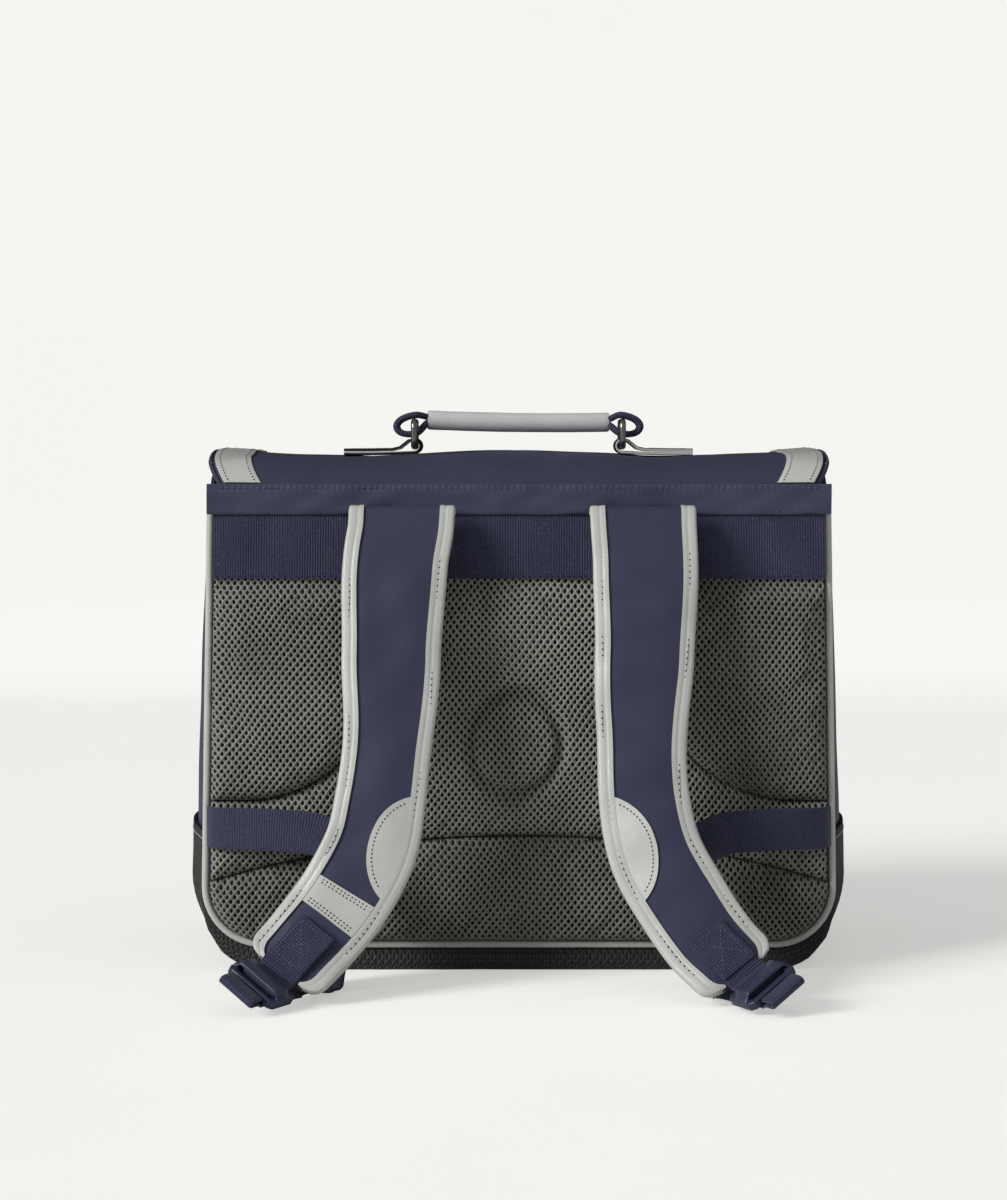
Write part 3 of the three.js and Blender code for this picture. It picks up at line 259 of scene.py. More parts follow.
def stitchShape(length, radius):
    # A short thread: a spindle that dips at both ends, with five sides.
    places = np.array([-0.36, 0, 0.36]) * length
    girth = np.array([0.85, 1, 0.85]) * radius
    turn = np.arange(5) / 5 * 2 * math.pi
    rings = spread(places[:, None] + 0 * turn, girth[:, None] * np.cos(turn), girth[:, None] * np.sin(turn))
    rings[:, :, 2] += np.array([0, 0.35, 0])[:, None] * radius
    tips = np.array([[-0.5 * length, 0, -radius], [0.5 * length, 0, -radius]])
    ring = np.arange(5)
    turned = (ring + 1) % 5
    bands = [
        np.stack([r * 5 + ring, r * 5 + turned, r * 5 + 5 + turned, r * 5 + 5 + ring], -1) for r in (0, 1)
    ]
    ends = [
        np.stack([turned, ring, 0 * ring + 15], -1), np.stack([10 + ring, 10 + turned, 0 * ring + 16], -1)
    ]
    return np.concatenate([rings.reshape(-1, 3), tips]), [np.concatenate(bands), np.concatenate(ends)]


def stitchRow(line, up, pitch, length, radius, material=0, shift=0.0, rise=1.0):
    # Stitches at an even pitch along a line on a surface with the normals up. rise flattens them.
    total = runLength(line)[-1]
    places = np.arange(pitch / 2 + shift, total - pitch / 3, pitch)
    origins = atLength(line, line, places)
    along = unit(atLength(line, tangents(line), places))
    normal = unit(atLength(line, np.broadcast_to(up, line.shape), places))
    shape, faces = stitchShape(length, radius)
    return copyPart(shape, faces, origins, along, unit(np.cross(normal, along)), normal * rise, material)


def seamRows(line, up, pitch, thread=1, hole=2, radius=0.32):
    # A stitched seam: a thread from needle hole to needle hole, and a flat dark dot at each hole, painted
    # shade for the hole.
    threads = stitchRow(line, up, pitch, 0.72 * pitch, radius, thread, 0.0, 0.7)
    return [threads, stitchRow(line, up, pitch, 1.15, 0.52, hole, pitch / 2, 0.3)]


def tapeProfile(width, thickness, columns=6):
    # A flat band's outline, once round: straight faces and rounded edges, as (across, up) pairs.
    width = np.asarray(width, float)[..., None]
    edge = thickness / 2
    flat = np.linspace(-1, 1, columns + 1)
    turn = np.linspace(-math.pi / 2, math.pi / 2, 5)[1:-1]
    x = [flat * (width / 2 - edge), width / 2 - edge + edge * np.cos(turn)]
    z = [-edge + 0 * flat, edge * np.sin(turn)]
    return spread(np.concatenate([x[0], x[1], -x[0], -x[1]], -1), np.concatenate([z[0], z[1], -z[0], -z[1]]))


def bandPart(path, across, width, thickness, columns=6, material=0, shapeUp=None):
    # A band along a path. across is the direction of its width, and shapeUp lifts its points.
    along = tangents(path)
    side = unit(across - np.sum(across * along, axis=1, keepdims=True) * along)
    up = np.cross(along, side)
    profile = tapeProfile(np.full(len(path), width) if np.isscalar(width) else width, thickness, columns)
    profile = np.broadcast_to(profile, (len(path),) + profile.shape[1:])
    rings = path[:, None] + side[:, None] * profile[..., 0:1] + up[:, None] * profile[..., 1:2]
    if shapeUp is not None:
        run = runLength(path)[:, None]
        rings = rings + up[:, None] * shapeUp(run, profile[..., 0])[..., None]
    run = runLength(path)
    uv = np.zeros((rings.shape[0], rings.shape[1] + 1, 2))
    uv[:, :-1, 1] = profile[..., 0]
    uv[:, -1, 1] = profile[:, 0, 0]
    uv[:, :, 0] = run[:, None]
    return tubePart(rings, uv, material=material)


def barPart(path, side, up, radius, sides=12, endless=False, material=0):
    # A round bar: a circle carried along a path.
    turn = np.arange(sides) / sides * 2 * math.pi
    radius = np.broadcast_to(np.asarray(radius, float), (len(path),))[:, None, None]
    rings = (
        path[:, None]
        + radius * (side[:, None] * np.cos(turn)[None, :, None] + up[:, None] * np.sin(turn)[None, :, None])
    )
    run = np.append(runLength(path), runLength(path)[-1] + 1)[: len(path) + (1 if endless else 0)]
    around = np.arange(sides + 1) / sides * 2 * math.pi * float(radius.mean())
    return tubePart(rings, np.stack(np.meshgrid(around, run), -1), endless, material)


def addNode(tree, kind, inputs=None, **settings):
    # One shader node: settings are its properties, and inputs are values or sockets to link.
    node = tree.nodes.new(kind)
    for name, value in settings.items():
        setattr(node, name, value)
    for name, value in (inputs or {}).items():
        if isinstance(value, bpy.types.NodeSocket):
            tree.links.new(value, node.inputs[name])
        else:
            node.inputs[name].default_value = value
    return node


def calc(tree, operation, first, second=0.0, third=0.0):
    # A math node: the operation on the first, second and third value.
    return addNode(tree, "ShaderNodeMath", {0: first, 1: second, 2: third}, operation=operation).outputs[0]


def blendColours(tree, share, first, second, mode="MIX"):
    # A mix of colours: first + (second - first) * share.
    node = addNode(tree, "ShaderNodeMix", {0: share, 6: first, 7: second}, data_type="RGBA", blend_type=mode)
    return node.outputs[2]


def makeGroup(name, inputs, outputs, fill):
    # A node group with the given sockets, where fill returns the result for each output.
    group = bpy.data.node_groups.new(name, "ShaderNodeTree")
    for socketName, kind, value in inputs:
        socket = group.interface.new_socket(name=socketName, in_out="INPUT", socket_type="NodeSocket" + kind)
        socket.default_value = value
    for socketName, kind in outputs:
        group.interface.new_socket(name=socketName, in_out="OUTPUT", socket_type="NodeSocket" + kind)
    entry = group.nodes.new("NodeGroupInput")
    leave = group.nodes.new("NodeGroupOutput")
    for socketName, result in fill(group, entry.outputs).items():
        group.links.new(result, leave.inputs[socketName])
    return group


def placeGroup(tree, group, inputs):
    # One use of a node group, with its inputs linked or set.
    node = addNode(tree, "ShaderNodeGroup", None, node_tree=group)
    for name, value in inputs.items():
        if isinstance(value, bpy.types.NodeSocket):
            tree.links.new(value, node.inputs[name])
        else:
            node.inputs[name].default_value = value
    return node.outputs


def fillTone(tree, given):
    # Cloudy tone: two noises of different size move the colour between the two given ones.
    place = addNode(tree, "ShaderNodeTexCoord").outputs["Object"]
    wide = addNode(tree, "ShaderNodeTexNoise", {"Vector": place, "Scale": given["Scale"], "Detail": 3.0})
    finer = calc(tree, "MULTIPLY", given["Scale"], 9.0)
    fine = addNode(tree, "ShaderNodeTexNoise", {"Vector": place, "Scale": finer, "Detail": 2.0})
    both = calc(
        tree, "ADD", calc(tree, "MULTIPLY", wide.outputs[0], 0.7),
        calc(tree, "MULTIPLY", fine.outputs[0], 0.3)
    )
    share = addNode(
        tree, "ShaderNodeMapRange", {"Value": both, "From Min": 0.36, "From Max": 0.64}
    ).outputs[0]
    return {"Colour": blendColours(tree, share, given["Colour"], given["Shade"]), "Cloud": share}


toneGroup = makeGroup(
    "cloudyTone",
    [
        ("Colour", "Color", (0.5, 0.5, 0.5, 1)), ("Shade", "Color", (0.4, 0.4, 0.4, 1)),
        ("Scale", "Float", 12.0)
    ],
    [("Colour", "Color"), ("Cloud", "Float")],
    fillTone,
)


def fillWeave(tree, given):
    # Plain weave: threads both ways, each one high where it passes over, from sines of the two coordinates.
    place = addNode(tree, "ShaderNodeTexCoord").outputs["UV"]
    parts = addNode(tree, "ShaderNodeSeparateXYZ", {"Vector": place}).outputs
    turnU = calc(tree, "DIVIDE", calc(tree, "MULTIPLY", parts[0], math.pi), given["Pitch"])
    turnV = calc(tree, "DIVIDE", calc(tree, "MULTIPLY", parts[1], math.pi), given["Pitch"])
    warp = calc(tree, "SINE", turnU)
    weft = calc(tree, "SINE", turnV)
    over = calc(tree, "MULTIPLY", warp, weft)
    high = calc(tree, "MULTIPLY_ADD", over, 0.5, 0.5)
    threads = calc(tree, "MAXIMUM", calc(tree, "ABSOLUTE", warp), calc(tree, "ABSOLUTE", weft))
    relief = calc(tree, "ADD", calc(tree, "MULTIPLY", high, 0.5), calc(tree, "MULTIPLY", threads, 0.5))
    low = calc(tree, "SUBTRACT", 1.0, threads)
    return {"Height": relief, "Gap": low}


weaveGroup = makeGroup(
    "plainWeave", [("Pitch", "Float", 0.0006)], [("Height", "Float"), ("Gap", "Float")], fillWeave
)


def fillRibs(tree, given):
    # Webbing: ribs across U, each crossed by short threads that shift by half from rib to rib.
    place = addNode(tree, "ShaderNodeTexCoord").outputs["UV"]
    parts = addNode(tree, "ShaderNodeSeparateXYZ", {"Vector": place}).outputs
    ribs = calc(tree, "DIVIDE", parts[0], given["Rib"])
    rib = calc(tree, "ABSOLUTE", calc(tree, "SINE", calc(tree, "MULTIPLY", ribs, math.pi)))
    shift = calc(tree, "MULTIPLY", calc(tree, "FLOOR", ribs), 0.5)
    turns = calc(tree, "ADD", calc(tree, "DIVIDE", parts[1], given["Thread"]), shift)
    thread = calc(tree, "ABSOLUTE", calc(tree, "SINE", calc(tree, "MULTIPLY", turns, math.pi)))
    relief = calc(
        tree, "ADD", calc(tree, "MULTIPLY", calc(tree, "POWER", rib, 0.6), 0.65),
        calc(tree, "MULTIPLY", thread, 0.35)
    )
    return {
        "Height": relief, "Valley": calc(tree, "SUBTRACT", 1.0, calc(tree, "POWER", rib, 0.5)),
        "Thread": thread
    }


ribGroup = makeGroup(
    "ribbedWebbing",
    [("Rib", "Float", 0.0021), ("Thread", "Float", 0.001)],
    [("Height", "Float"), ("Valley", "Float"), ("Thread", "Float")],
    fillRibs,
)


def fillGrain(tree, given):
    # Fine grain: small cells over a soft noise, for coated cloth, leather and moulded plastic.
    place = addNode(tree, "ShaderNodeTexCoord").outputs["Object"]
    cells = addNode(
        tree, "ShaderNodeTexVoronoi", {"Vector": place, "Scale": given["Scale"]}, feature="F1"
    ).outputs["Distance"]
    soft = addNode(
        tree, "ShaderNodeTexNoise",
        {"Vector": place, "Scale": calc(tree, "MULTIPLY", given["Scale"], 0.35), "Detail": 4.0}
    ).outputs[0]
    return {"Height": calc(tree, "ADD", calc(tree, "MULTIPLY", cells, 0.5), soft), "Soft": soft}


grainGroup = makeGroup(
    "fineGrain", [("Scale", "Float", 900.0)], [("Height", "Float"), ("Soft", "Float")], fillGrain
)


def bumpFrom(tree, height, strength, distance, normal=None):
    # The normal, tilted by the slope of the height.
    inputs = {"Height": height, "Strength": strength, "Distance": distance}
    if normal is not None:
        inputs["Normal"] = normal
    return addNode(tree, "ShaderNodeBump", inputs).outputs["Normal"]


def startMaterial(name, constants):
    # A material with its shader, on which the constants are set.
    material = bpy.data.materials.new(name)
    material.use_nodes = True
    tree = material.node_tree
    shader = tree.nodes["Principled BSDF"]
    for socket, value in constants.items():
        shader.inputs[socket].default_value = value
    return material, tree, shader


def clothMaterial(name, look):
    # Coated cloth: cloudy colour, a fine weave with painted shade in its gaps, and soft creases.
    material, tree, shader = startMaterial(name, look["constants"])
    tone = placeGroup(
        tree, toneGroup, {"Colour": look["colour"], "Shade": look["shade"], "Scale": look["cloud"]}
    )
    weave = placeGroup(tree, weaveGroup, {"Pitch": look["pitch"]})
    grain = placeGroup(tree, grainGroup, {"Scale": look["grain"]})
    # Painted shade between the threads: the colour moves to the deep colour where the weave is low.
    gapShadeShare = calc(tree, "MULTIPLY", weave["Gap"], look["gapShade"])
    colour = blendColours(tree, gapShadeShare, tone["Colour"], look["deep"])
    tree.links.new(colour, shader.inputs["Base Color"])
    rough = addNode(
        tree, "ShaderNodeMapRange",
        {"Value": tone["Cloud"], "To Min": look["rough"][0], "To Max": look["rough"][1]}
    )
    tree.links.new(rough.outputs[0], shader.inputs["Roughness"])
    first = bumpFrom(tree, weave["Height"], look["weaveBump"], look["pitch"] * 0.4)
    tree.links.new(bumpFrom(tree, grain["Height"], look["grainBump"], 0.0002, first), shader.inputs["Normal"])
    return material


def webbingMaterial(name, look):
    # Woven webbing: ribs with painted shade in their valleys and a sparse light fleck where threads cross.
    material, tree, shader = startMaterial(name, look["constants"])
    tone = placeGroup(
        tree, toneGroup, {"Colour": look["colour"], "Shade": look["shade"], "Scale": look["cloud"]}
    )
    ribs = placeGroup(tree, ribGroup, {"Rib": look["rib"], "Thread": look["thread"]})
    # Painted shade in the valleys between the ribs.
    valleyShadeShare = calc(tree, "MULTIPLY", ribs["Valley"], look["valleyShade"])
    colour = blendColours(tree, valleyShadeShare, tone["Colour"], look["deep"])
    place = addNode(tree, "ShaderNodeTexCoord").outputs["Object"]
    noise = addNode(tree, "ShaderNodeTexNoise", {"Vector": place, "Scale": 1400.0, "Detail": 1.0}).outputs[0]
    fleck = calc(
        tree, "MULTIPLY", calc(tree, "GREATER_THAN", noise, 0.64), calc(tree, "POWER", ribs["Thread"], 3.0)
    )
    colour = blendColours(tree, calc(tree, "MULTIPLY", fleck, look["fleck"]), colour, look["light"])
    tree.links.new(colour, shader.inputs["Base Color"])
    tree.links.new(bumpFrom(tree, ribs["Height"], look["bump"], look["rib"] * 0.35), shader.inputs["Normal"])
    return material


def plainMaterial(name, look):
    # Smooth finishes: cloudy colour, uneven gloss and a fine grain.
    material, tree, shader = startMaterial(name, look["constants"])
    tone = placeGroup(
        tree, toneGroup, {"Colour": look["colour"], "Shade": look["shade"], "Scale": look["cloud"]}
    )
    grain = placeGroup(tree, grainGroup, {"Scale": look["grain"]})
    tree.links.new(tone["Colour"], shader.inputs["Base Color"])
    rough = addNode(
        tree, "ShaderNodeMapRange",
        {"Value": grain["Soft"], "To Min": look["rough"][0], "To Max": look["rough"][1]}
    )
    tree.links.new(rough.outputs[0], shader.inputs["Roughness"])
    tree.links.new(bumpFrom(tree, grain["Height"], look["grainBump"], 0.0002), shader.inputs["Normal"])
    return material


navyLook = {
    "colour": (0.053, 0.057, 0.108, 1), "shade": (0.043, 0.047, 0.088, 1), "deep": (0.024, 0.026, 0.052, 1),
    "cloud": 14.0, "pitch": 0.0007, "grain": 700.0, "gapShade": 0.5, "weaveBump": 0.25, "grainBump": 0.12,
    "rough": (0.48, 0.62),
    "constants": {"Specular IOR Level": 0.34, "Sheen Weight": 0.03, "Sheen Roughness": 0.5},
}
webbingLook = {
    "colour": (0.048, 0.050, 0.108, 1), "shade": (0.038, 0.040, 0.088, 1), "deep": (0.006, 0.007, 0.020, 1),
    "light": (0.19, 0.20, 0.34, 1), "cloud": 30.0, "rib": 0.0016, "thread": 0.0012, "valleyShade": 0.9,
    "fleck": 0.6, "bump": 1.0,
    "constants": {"Roughness": 0.62, "Specular IOR Level": 0.35, "Sheen Weight": 0.2, "Sheen Roughness": 0.4},
}
fineWebbingLook = dict(webbingLook, rib=0.0011, thread=0.0009, bump=0.7)
tapeLook = {
    "colour": (0.66, 0.665, 0.62, 1), "shade": (0.60, 0.605, 0.565, 1), "cloud": 22.0, "grain": 1600.0,
    "grainBump": 0.08, "rough": (0.34, 0.48), "constants": {"Specular IOR Level": 0.5, "Coat Weight": 0.08},
}
gripLook = {
    "colour": (0.72, 0.72, 0.71, 1), "shade": (0.65, 0.65, 0.64, 1), "cloud": 30.0, "grain": 1500.0,
    "grainBump": 0.1, "rough": (0.36, 0.5), "constants": {"Specular IOR Level": 0.5},
}
baseLook = {
    "colour": (0.030, 0.029, 0.028, 1), "shade": (0.023, 0.022, 0.021, 1), "deep": (0.001, 0.001, 0.001, 1),
    "cloud": 18.0, "pitch": 0.0022, "grain": 700.0, "gapShade": 1.6, "weaveBump": 1.0, "grainBump": 0.2,
    "rough": (0.5, 0.66), "constants": {"Specular IOR Level": 0.45},
}
knitLook = {
    "colour": (0.385, 0.385, 0.330, 1), "shade": (0.300, 0.300, 0.258, 1), "deep": (0.05, 0.05, 0.04, 1),
    "cloud": 26.0, "pitch": 0.0005, "grain": 2600.0, "gapShade": 0.55, "weaveBump": 0.8, "grainBump": 0.9,
    "rough": (0.6, 0.8),
    "constants": {"Specular IOR Level": 0.3, "Sheen Weight": 0.25, "Sheen Roughness": 0.4},
}
# The pads' backing: the knit darkened to near black, painted shade where it shows through the holes and in
# the seams.
backingShadeLook = dict(
    knitLook, colour=(0.010, 0.010, 0.009, 1), shade=(0.007, 0.007, 0.006, 1), deep=(0.003, 0.003, 0.003, 1)
)
steelLook = {
    "colour": (0.32, 0.30, 0.28, 1), "shade": (0.24, 0.23, 0.21, 1), "cloud": 60.0, "grain": 2200.0,
    "grainBump": 0.05, "rough": (0.2, 0.34), "constants": {"Metallic": 1.0},
}
leatherLook = {
    "colour": (0.012, 0.011, 0.010, 1), "shade": (0.007, 0.0065, 0.006, 1), "cloud": 60.0, "grain": 1300.0,
    "grainBump": 0.5, "rough": (0.42, 0.6), "constants": {"Specular IOR Level": 0.5},
}
plasticLook = {
    "colour": (0.040, 0.045, 0.088, 1), "shade": (0.034, 0.039, 0.076, 1), "cloud": 40.0, "grain": 1700.0,
    "grainBump": 0.12, "rough": (0.26, 0.38), "constants": {"Specular IOR Level": 0.55},
}
threadLook = dict(navyLook, colour=(0.060, 0.065, 0.13, 1), shade=(0.035, 0.038, 0.08, 1), rough=(0.4, 0.5))
# The hem strip: the navy cloth made lighter, painted light where the hem catches more of the light.
litHemLook = dict(navyLook, colour=(0.069, 0.073, 0.131, 1), shade=(0.055, 0.059, 0.107, 1))
boxThreadLook = dict(threadLook, colour=(0.20, 0.215, 0.34, 1), shade=(0.13, 0.14, 0.23, 1))
tapeThreadLook = dict(tapeLook, colour=(0.72, 0.72, 0.68, 1), shade=(0.62, 0.62, 0.59, 1))
# The right strap's patch: the tape made lighter, a painted highlight where that patch catches the light.
highlightTapeLook = dict(tapeLook, colour=(0.80, 0.80, 0.76, 1), shade=(0.70, 0.70, 0.67, 1))
paleThreadLook = dict(tapeLook, colour=(0.7, 0.7, 0.68, 1), shade=(0.55, 0.55, 0.54, 1))
# Near-black dots at the needle holes: painted shade in the holes.
needleHoleShadeLook = dict(leatherLook, colour=(0.03, 0.03, 0.03, 1), shade=(0.015, 0.015, 0.015, 1))
# Painted light and shade for each pad's knit, as a share of the knit's own colour: the right wing and the
# lumbar pad darker and the spine lighter, as the light falls on them.
knitPaintedLight = {"wingPadLeft": 1.0, "spinePad": 1.1, "wingPadRight": 0.78, "lumbarPad": 0.8}


def toned(colour, tone):
    # The red, green and blue times the tone, with the alpha left as it is.
    return tuple(part * tone for part in colour[:3]) + (colour[3],)


def padKnit(pad, tone):
    # The knit of one pad: the knit's look with both colours times the pad's share of painted light and shade.
    look = dict(knitLook, colour=toned(knitLook["colour"], tone), shade=toned(knitLook["shade"], tone))
    return clothMaterial("spacerKnit" + pad[0].upper() + pad[1:], look)


navyCloth = clothMaterial("navyCloth", navyLook)
litHemCloth = clothMaterial("litHemCloth", litHemLook)
navyThread = clothMaterial("navyThread", threadLook)
blackBase = clothMaterial("blackBase", baseLook)
knits = {pad: padKnit(pad, tone) for pad, tone in knitPaintedLight.items()}
backing = clothMaterial("padBackingShade", backingShadeLook)
webbing = webbingMaterial("navyWebbing", webbingLook)
fineWebbing = webbingMaterial("fineWebbing", fineWebbingLook)
tape = plainMaterial("reflectiveTape", tapeLook)
tapeThread = plainMaterial("tapeThread", tapeThreadLook)
needleHoleShade = plainMaterial("needleHoleShade", needleHoleShadeLook)
gripCover = plainMaterial("gripCover", gripLook)
steel = plainMaterial("ringSteel", steelLook)
leather = plainMaterial("tabLeather", leatherLook)
plastic = plainMaterial("navyPlastic", plasticLook)
highlightTape = plainMaterial("highlightTape", highlightTapeLook)
boxThread = clothMaterial("boxThread", boxThreadLook)
paleThread = plainMaterial("paleThread", paleThreadLook)
print("materials made")


body = {
    "seamHalfWidth": 189.5, "seamNarrowing": 4.5, "seamBottom": 15.5, "seamCorner": 35.0, "seamY": 80.0,
    "top": 286.0, "mouthRise": 14.0, "sideBulge": 13.5, "topBulge": 6.0, "frontBulge": 7.0, "wall": 2.0,
    "baseTop": 84.0, "piping": 2.2, "gap": 0.3, "creaseHeight": 1.1, "gatherHeight": 0.7,
    "bottomRounding": 0.035, "backSag": 9.0, "sagShare": 0.07, "gussetColumns": 36, "baseColumns": 44,
    "gatherAt": 60.0, "gatherReach": 22.0, "gatherWave": 2.1, "stitchPitch": 4.2, "baseStitch": 2.8,
    "frontStitch": 2.9,
}
cornerTop = body["seamBottom"] + body["seamCorner"]
gap = body["gap"]


def seamHalfWidthAt(z):
    # Half the width at a height: the lower one, less the narrowing times the share of the rise.
    return (
        body["seamHalfWidth"] - body["seamNarrowing"] * clamp01((z - cornerTop) / (body["top"] - cornerTop))
    )


def seamPath(topHeight, straightSteps=46, cornerSteps=14, bottomSteps=60):
    # Down the left seam, round the corner, along the bottom and up again: x, z and the outward direction.
    z = np.linspace(topHeight, cornerTop, straightSteps + 1)
    straight = spread(-seamHalfWidthAt(z), z, -1.0, 0.0)
    turn = np.linspace(0, math.pi / 2, cornerSteps + 1)[1:]
    nx, nz = -np.cos(turn), -np.sin(turn)
    corner = spread(
        body["seamCorner"] - body["seamHalfWidth"] + body["seamCorner"] * nx,
        cornerTop + body["seamCorner"] * nz, nx, nz
    )
    left = np.concatenate([straight, corner])
    x = np.linspace(left[-1, 0], -left[-1, 0], bottomSteps + 1)[1:-1]
    bottom = spread(x, left[-1, 1], 0.0, -1.0)
    right = left[::-1] * np.array([-1, 1, -1, 1])
    return np.concatenate([left, bottom, right])


def swellAt(path, share):
    # The sides swell most in the middle of the depth, and the underside goes flat between its seams.
    z, nx, nz = path[:, 1:2], path[:, 2:3], path[:, 3:4]
    swell = mix(body["sideBulge"], body["topBulge"], clamp01(z / body["top"]) ** 3) * np.sin(math.pi * share)
    edge = clamp01(np.minimum(share, 1 - share) / body["bottomRounding"])
    return nx**2 * swell + nz**2 * (body["seamBottom"] - body["wall"] - gap) * np.sin(edge * math.pi / 2)


def gussetGrid(path, lift, columns, relief, backSag=0.0):
    # The underside goes flat close to its seams, and hangs back a little under the back one.
    share = (1 - np.cos(np.linspace(0, math.pi, columns + 1)))[None, :] / 2
    half = body["seamY"] - body["piping"] - gap
    run = runLength(path[:, :2])[:, None]
    out = swellAt(path, share) + lift + relief(run, share)
    above = clamp01((path[:, 1:2] - body["baseTop"]) / (body["top"] - body["baseTop"]))
    rise = body["mouthRise"] * above * np.sin(math.pi * share)
    sag = backSag * path[:, 3:4] ** 2 * np.sin(math.pi * clamp01(share / body["sagShare"]))
    return spread(
        path[:, 0:1] + path[:, 2:3] * out, mix(-half, half, share) - sag,
        path[:, 1:2] + path[:, 3:4] * out + rise
    )


wholePath = seamPath(body["top"])
basePath = seamPath(body["baseTop"], 14)
fade = lambda share: np.sin(math.pi * share) ** 0.6


def clothCrease(run, share):
    # Shallow hollows: half the crease height times one plus the ripple, fading at both seams.
    return -body["creaseHeight"] * 0.5 * (1 + ripple(run, share * 150, 70, 3)) * fade(share)


def baseGather(run, share):
    # Small gathers where the base cover turns its corners, dying out towards its middle.
    length = runLength(basePath[:, :2])[-1]
    at, reach = body["gatherAt"], body["gatherReach"]
    corner = np.exp(-(((run - at) / reach) ** 2)) + np.exp(-(((run - length + at) / reach) ** 2))
    fold = np.sin(run / body["gatherWave"]) * corner * np.exp(-((np.minimum(share, 1 - share) / 0.12) ** 2))
    return body["gatherHeight"] * fold * 0.6 + 0.25 * ripple(run, share * 150, 34, 5) * fade(share)


gussetOuter = gussetGrid(wholePath, 0.0, body["gussetColumns"], clothCrease)
gussetInner = gussetGrid(wholePath, -body["wall"], body["gussetColumns"], clothCrease)
addPiece("gussetCloth", [slabPart(gussetOuter, gussetInner)], [navyCloth], "navy_cloth", "gusset")

baseOuter = gussetGrid(basePath, gap + body["wall"], body["baseColumns"], baseGather, body["backSag"])
baseInner = gussetGrid(basePath, gap, body["baseColumns"], baseGather, body["backSag"])
baseParts = [slabPart(baseOuter, baseInner)]
for row in (2, -3):
    line = baseOuter[row]
    outwards = np.array([[-1.0 if row > 0 else 1.0, 0, 0]])
    baseParts.append(
        stitchRow(line + outwards * 0.1, outwards, body["stitchPitch"], body["baseStitch"], 0.3, 1)
    )
addPiece("baseCover", baseParts, [blackBase, paleThread], "black_base_cloth", "base_cover")


def panelGrid(inset, y, rows=60, columns=40):
    # Rows down to the corner, then round it: the half width there is the corner's middle plus a cosine.
    z = np.concatenate([np.linspace(body["top"], cornerTop, rows - 16), np.zeros(16)])
    turn = np.linspace(0, math.pi / 2, 17)[1:]
    radius = body["seamCorner"] - inset
    z[-16:] = cornerTop - radius * np.sin(turn)
    half = seamHalfWidthAt(z) - inset
    half[-16:] = body["seamHalfWidth"] - body["seamCorner"] + radius * np.cos(turn)
    share = np.linspace(-1, 1, columns + 1)[None, :]
    x, height = share * half[:, None], z[:, None] + 0 * share
    return spread(x, y(share, height, x), height)


panelInset = body["piping"] + gap
backY = -(body["seamY"] + body["wall"] / 2)
flatBack = lambda lift: lambda share, z, x: backY + lift + 0 * x
addPiece(
    "backPanel",
    [slabPart(panelGrid(panelInset, flatBack(0.0)), panelGrid(panelInset, flatBack(body["wall"])))],
    [navyCloth], "navy_cloth", "back_panel",
)


def frontY(lift):
    # Depth of the front wall: a sine up its height, times one less the fourth power across it.
    def y(share, z, x):
        # The depth at a share of the half width and a height.
        rise = 0.85 * (z - body["seamBottom"]) / (body["top"] - body["seamBottom"])
        swell = body["frontBulge"] * (1 - share**4) * np.sin(math.pi * rise)
        return body["seamY"] + lift + swell + 0.5 * ripple(x, z, 80, 8) * (1 - share**4)
    return y


frontOuter = panelGrid(panelInset, frontY(body["wall"] / 2))
frontInner = panelGrid(panelInset, frontY(-body["wall"] / 2))
frontParts = [slabPart(frontOuter, frontInner)]
towardsFront = np.array([[0, 1.0, 0]])
frontParts.append(
    stitchRow(
        frontOuter[42] + towardsFront * 0.1, towardsFront, body["stitchPitch"], body["frontStitch"], 0.28, 1
    )
)
addPiece("frontPanel", frontParts, [navyCloth, navyThread], "navy_cloth", "front_panel")

for name, node, y in (
    ("backPiping", "back_piping", -body["seamY"]), ("frontPiping", "front_piping", body["seamY"])
):
    points = spread(wholePath[:, 0], y, wholePath[:, 1])
    outward = spread(wholePath[:, 2], 0.0, wholePath[:, 3])
    depth = np.broadcast_to(np.array([0, 1.0, 0]), outward.shape)
    radius = body["piping"] * (1 + 0.03 * ripple(runLength(points), 0 * points[:, 0], 30, 12))
    addPiece(name, [barPart(points, outward, depth, radius, 14)], [tape], "reflective_tape", node)
print("body made")


pads = {
    "inset": 2.7, "backing": 3.0, "wing": 12.0, "spine": 10.0, "lumbar": 13.5, "edgeRadius": 17.0,
    "groove": 0.4, "wingBottom": 103.0, "wingCornerStart": 165.0, "wingInner": 75.0, "wingCornerTop": 200.0,
    "lumbarTop": 82.0, "lumbarDrop": 29.0, "lumbarHalf": 186.6, "webBottom": 237.0, "webTop": 276.0,
    "cinch": 11.0, "holePitch": 4.2, "holeRow": 2.7, "holeHalfWidth": 1.02, "holeHalfHeight": 1.42,
    "rimDip": 0.45, "holeDepth": 1.5, "ringX": -2.0, "ringZ": 138.5, "ringRadius": 27.0, "ringHalf": 6.5,
    "ringDepth": 6.2, "seamHeight": 1.3, "pinch": 0.22, "pinchReach": 3.2, "pucker": 0.45, "drift": 1.1,
    "simSpacing": 5.0, "pressure": 0.6, "oversize": 0.02, "swellCap": 2.4, "slideCap": 1.2, "simFrames": 20,
    "simHeight": 0.96, "sewnReach": 4.0, "heldEdge": 3.0,
}
clothSettings = {
    "quality": 6, "mass": 0.12, "tension_stiffness": 10, "compression_stiffness": 10, "shear_stiffness": 4,
    "bending_stiffness": 0.08, "shrink_min": -pads["oversize"], "use_pressure": True,
    "uniform_pressure_force": pads["pressure"], "vertex_group_mass": "sewn",
}
padBack = backY - gap
padTop = pads["webTop"] - gap
padHeld = pads["webBottom"] - 2 * gap - 1
wingRise, wingRun = pads["wingCornerTop"] - pads["wingBottom"], pads["wingCornerStart"] - pads["wingInner"]
padHalfAt = lambda z: seamHalfWidthAt(z) - pads["inset"]
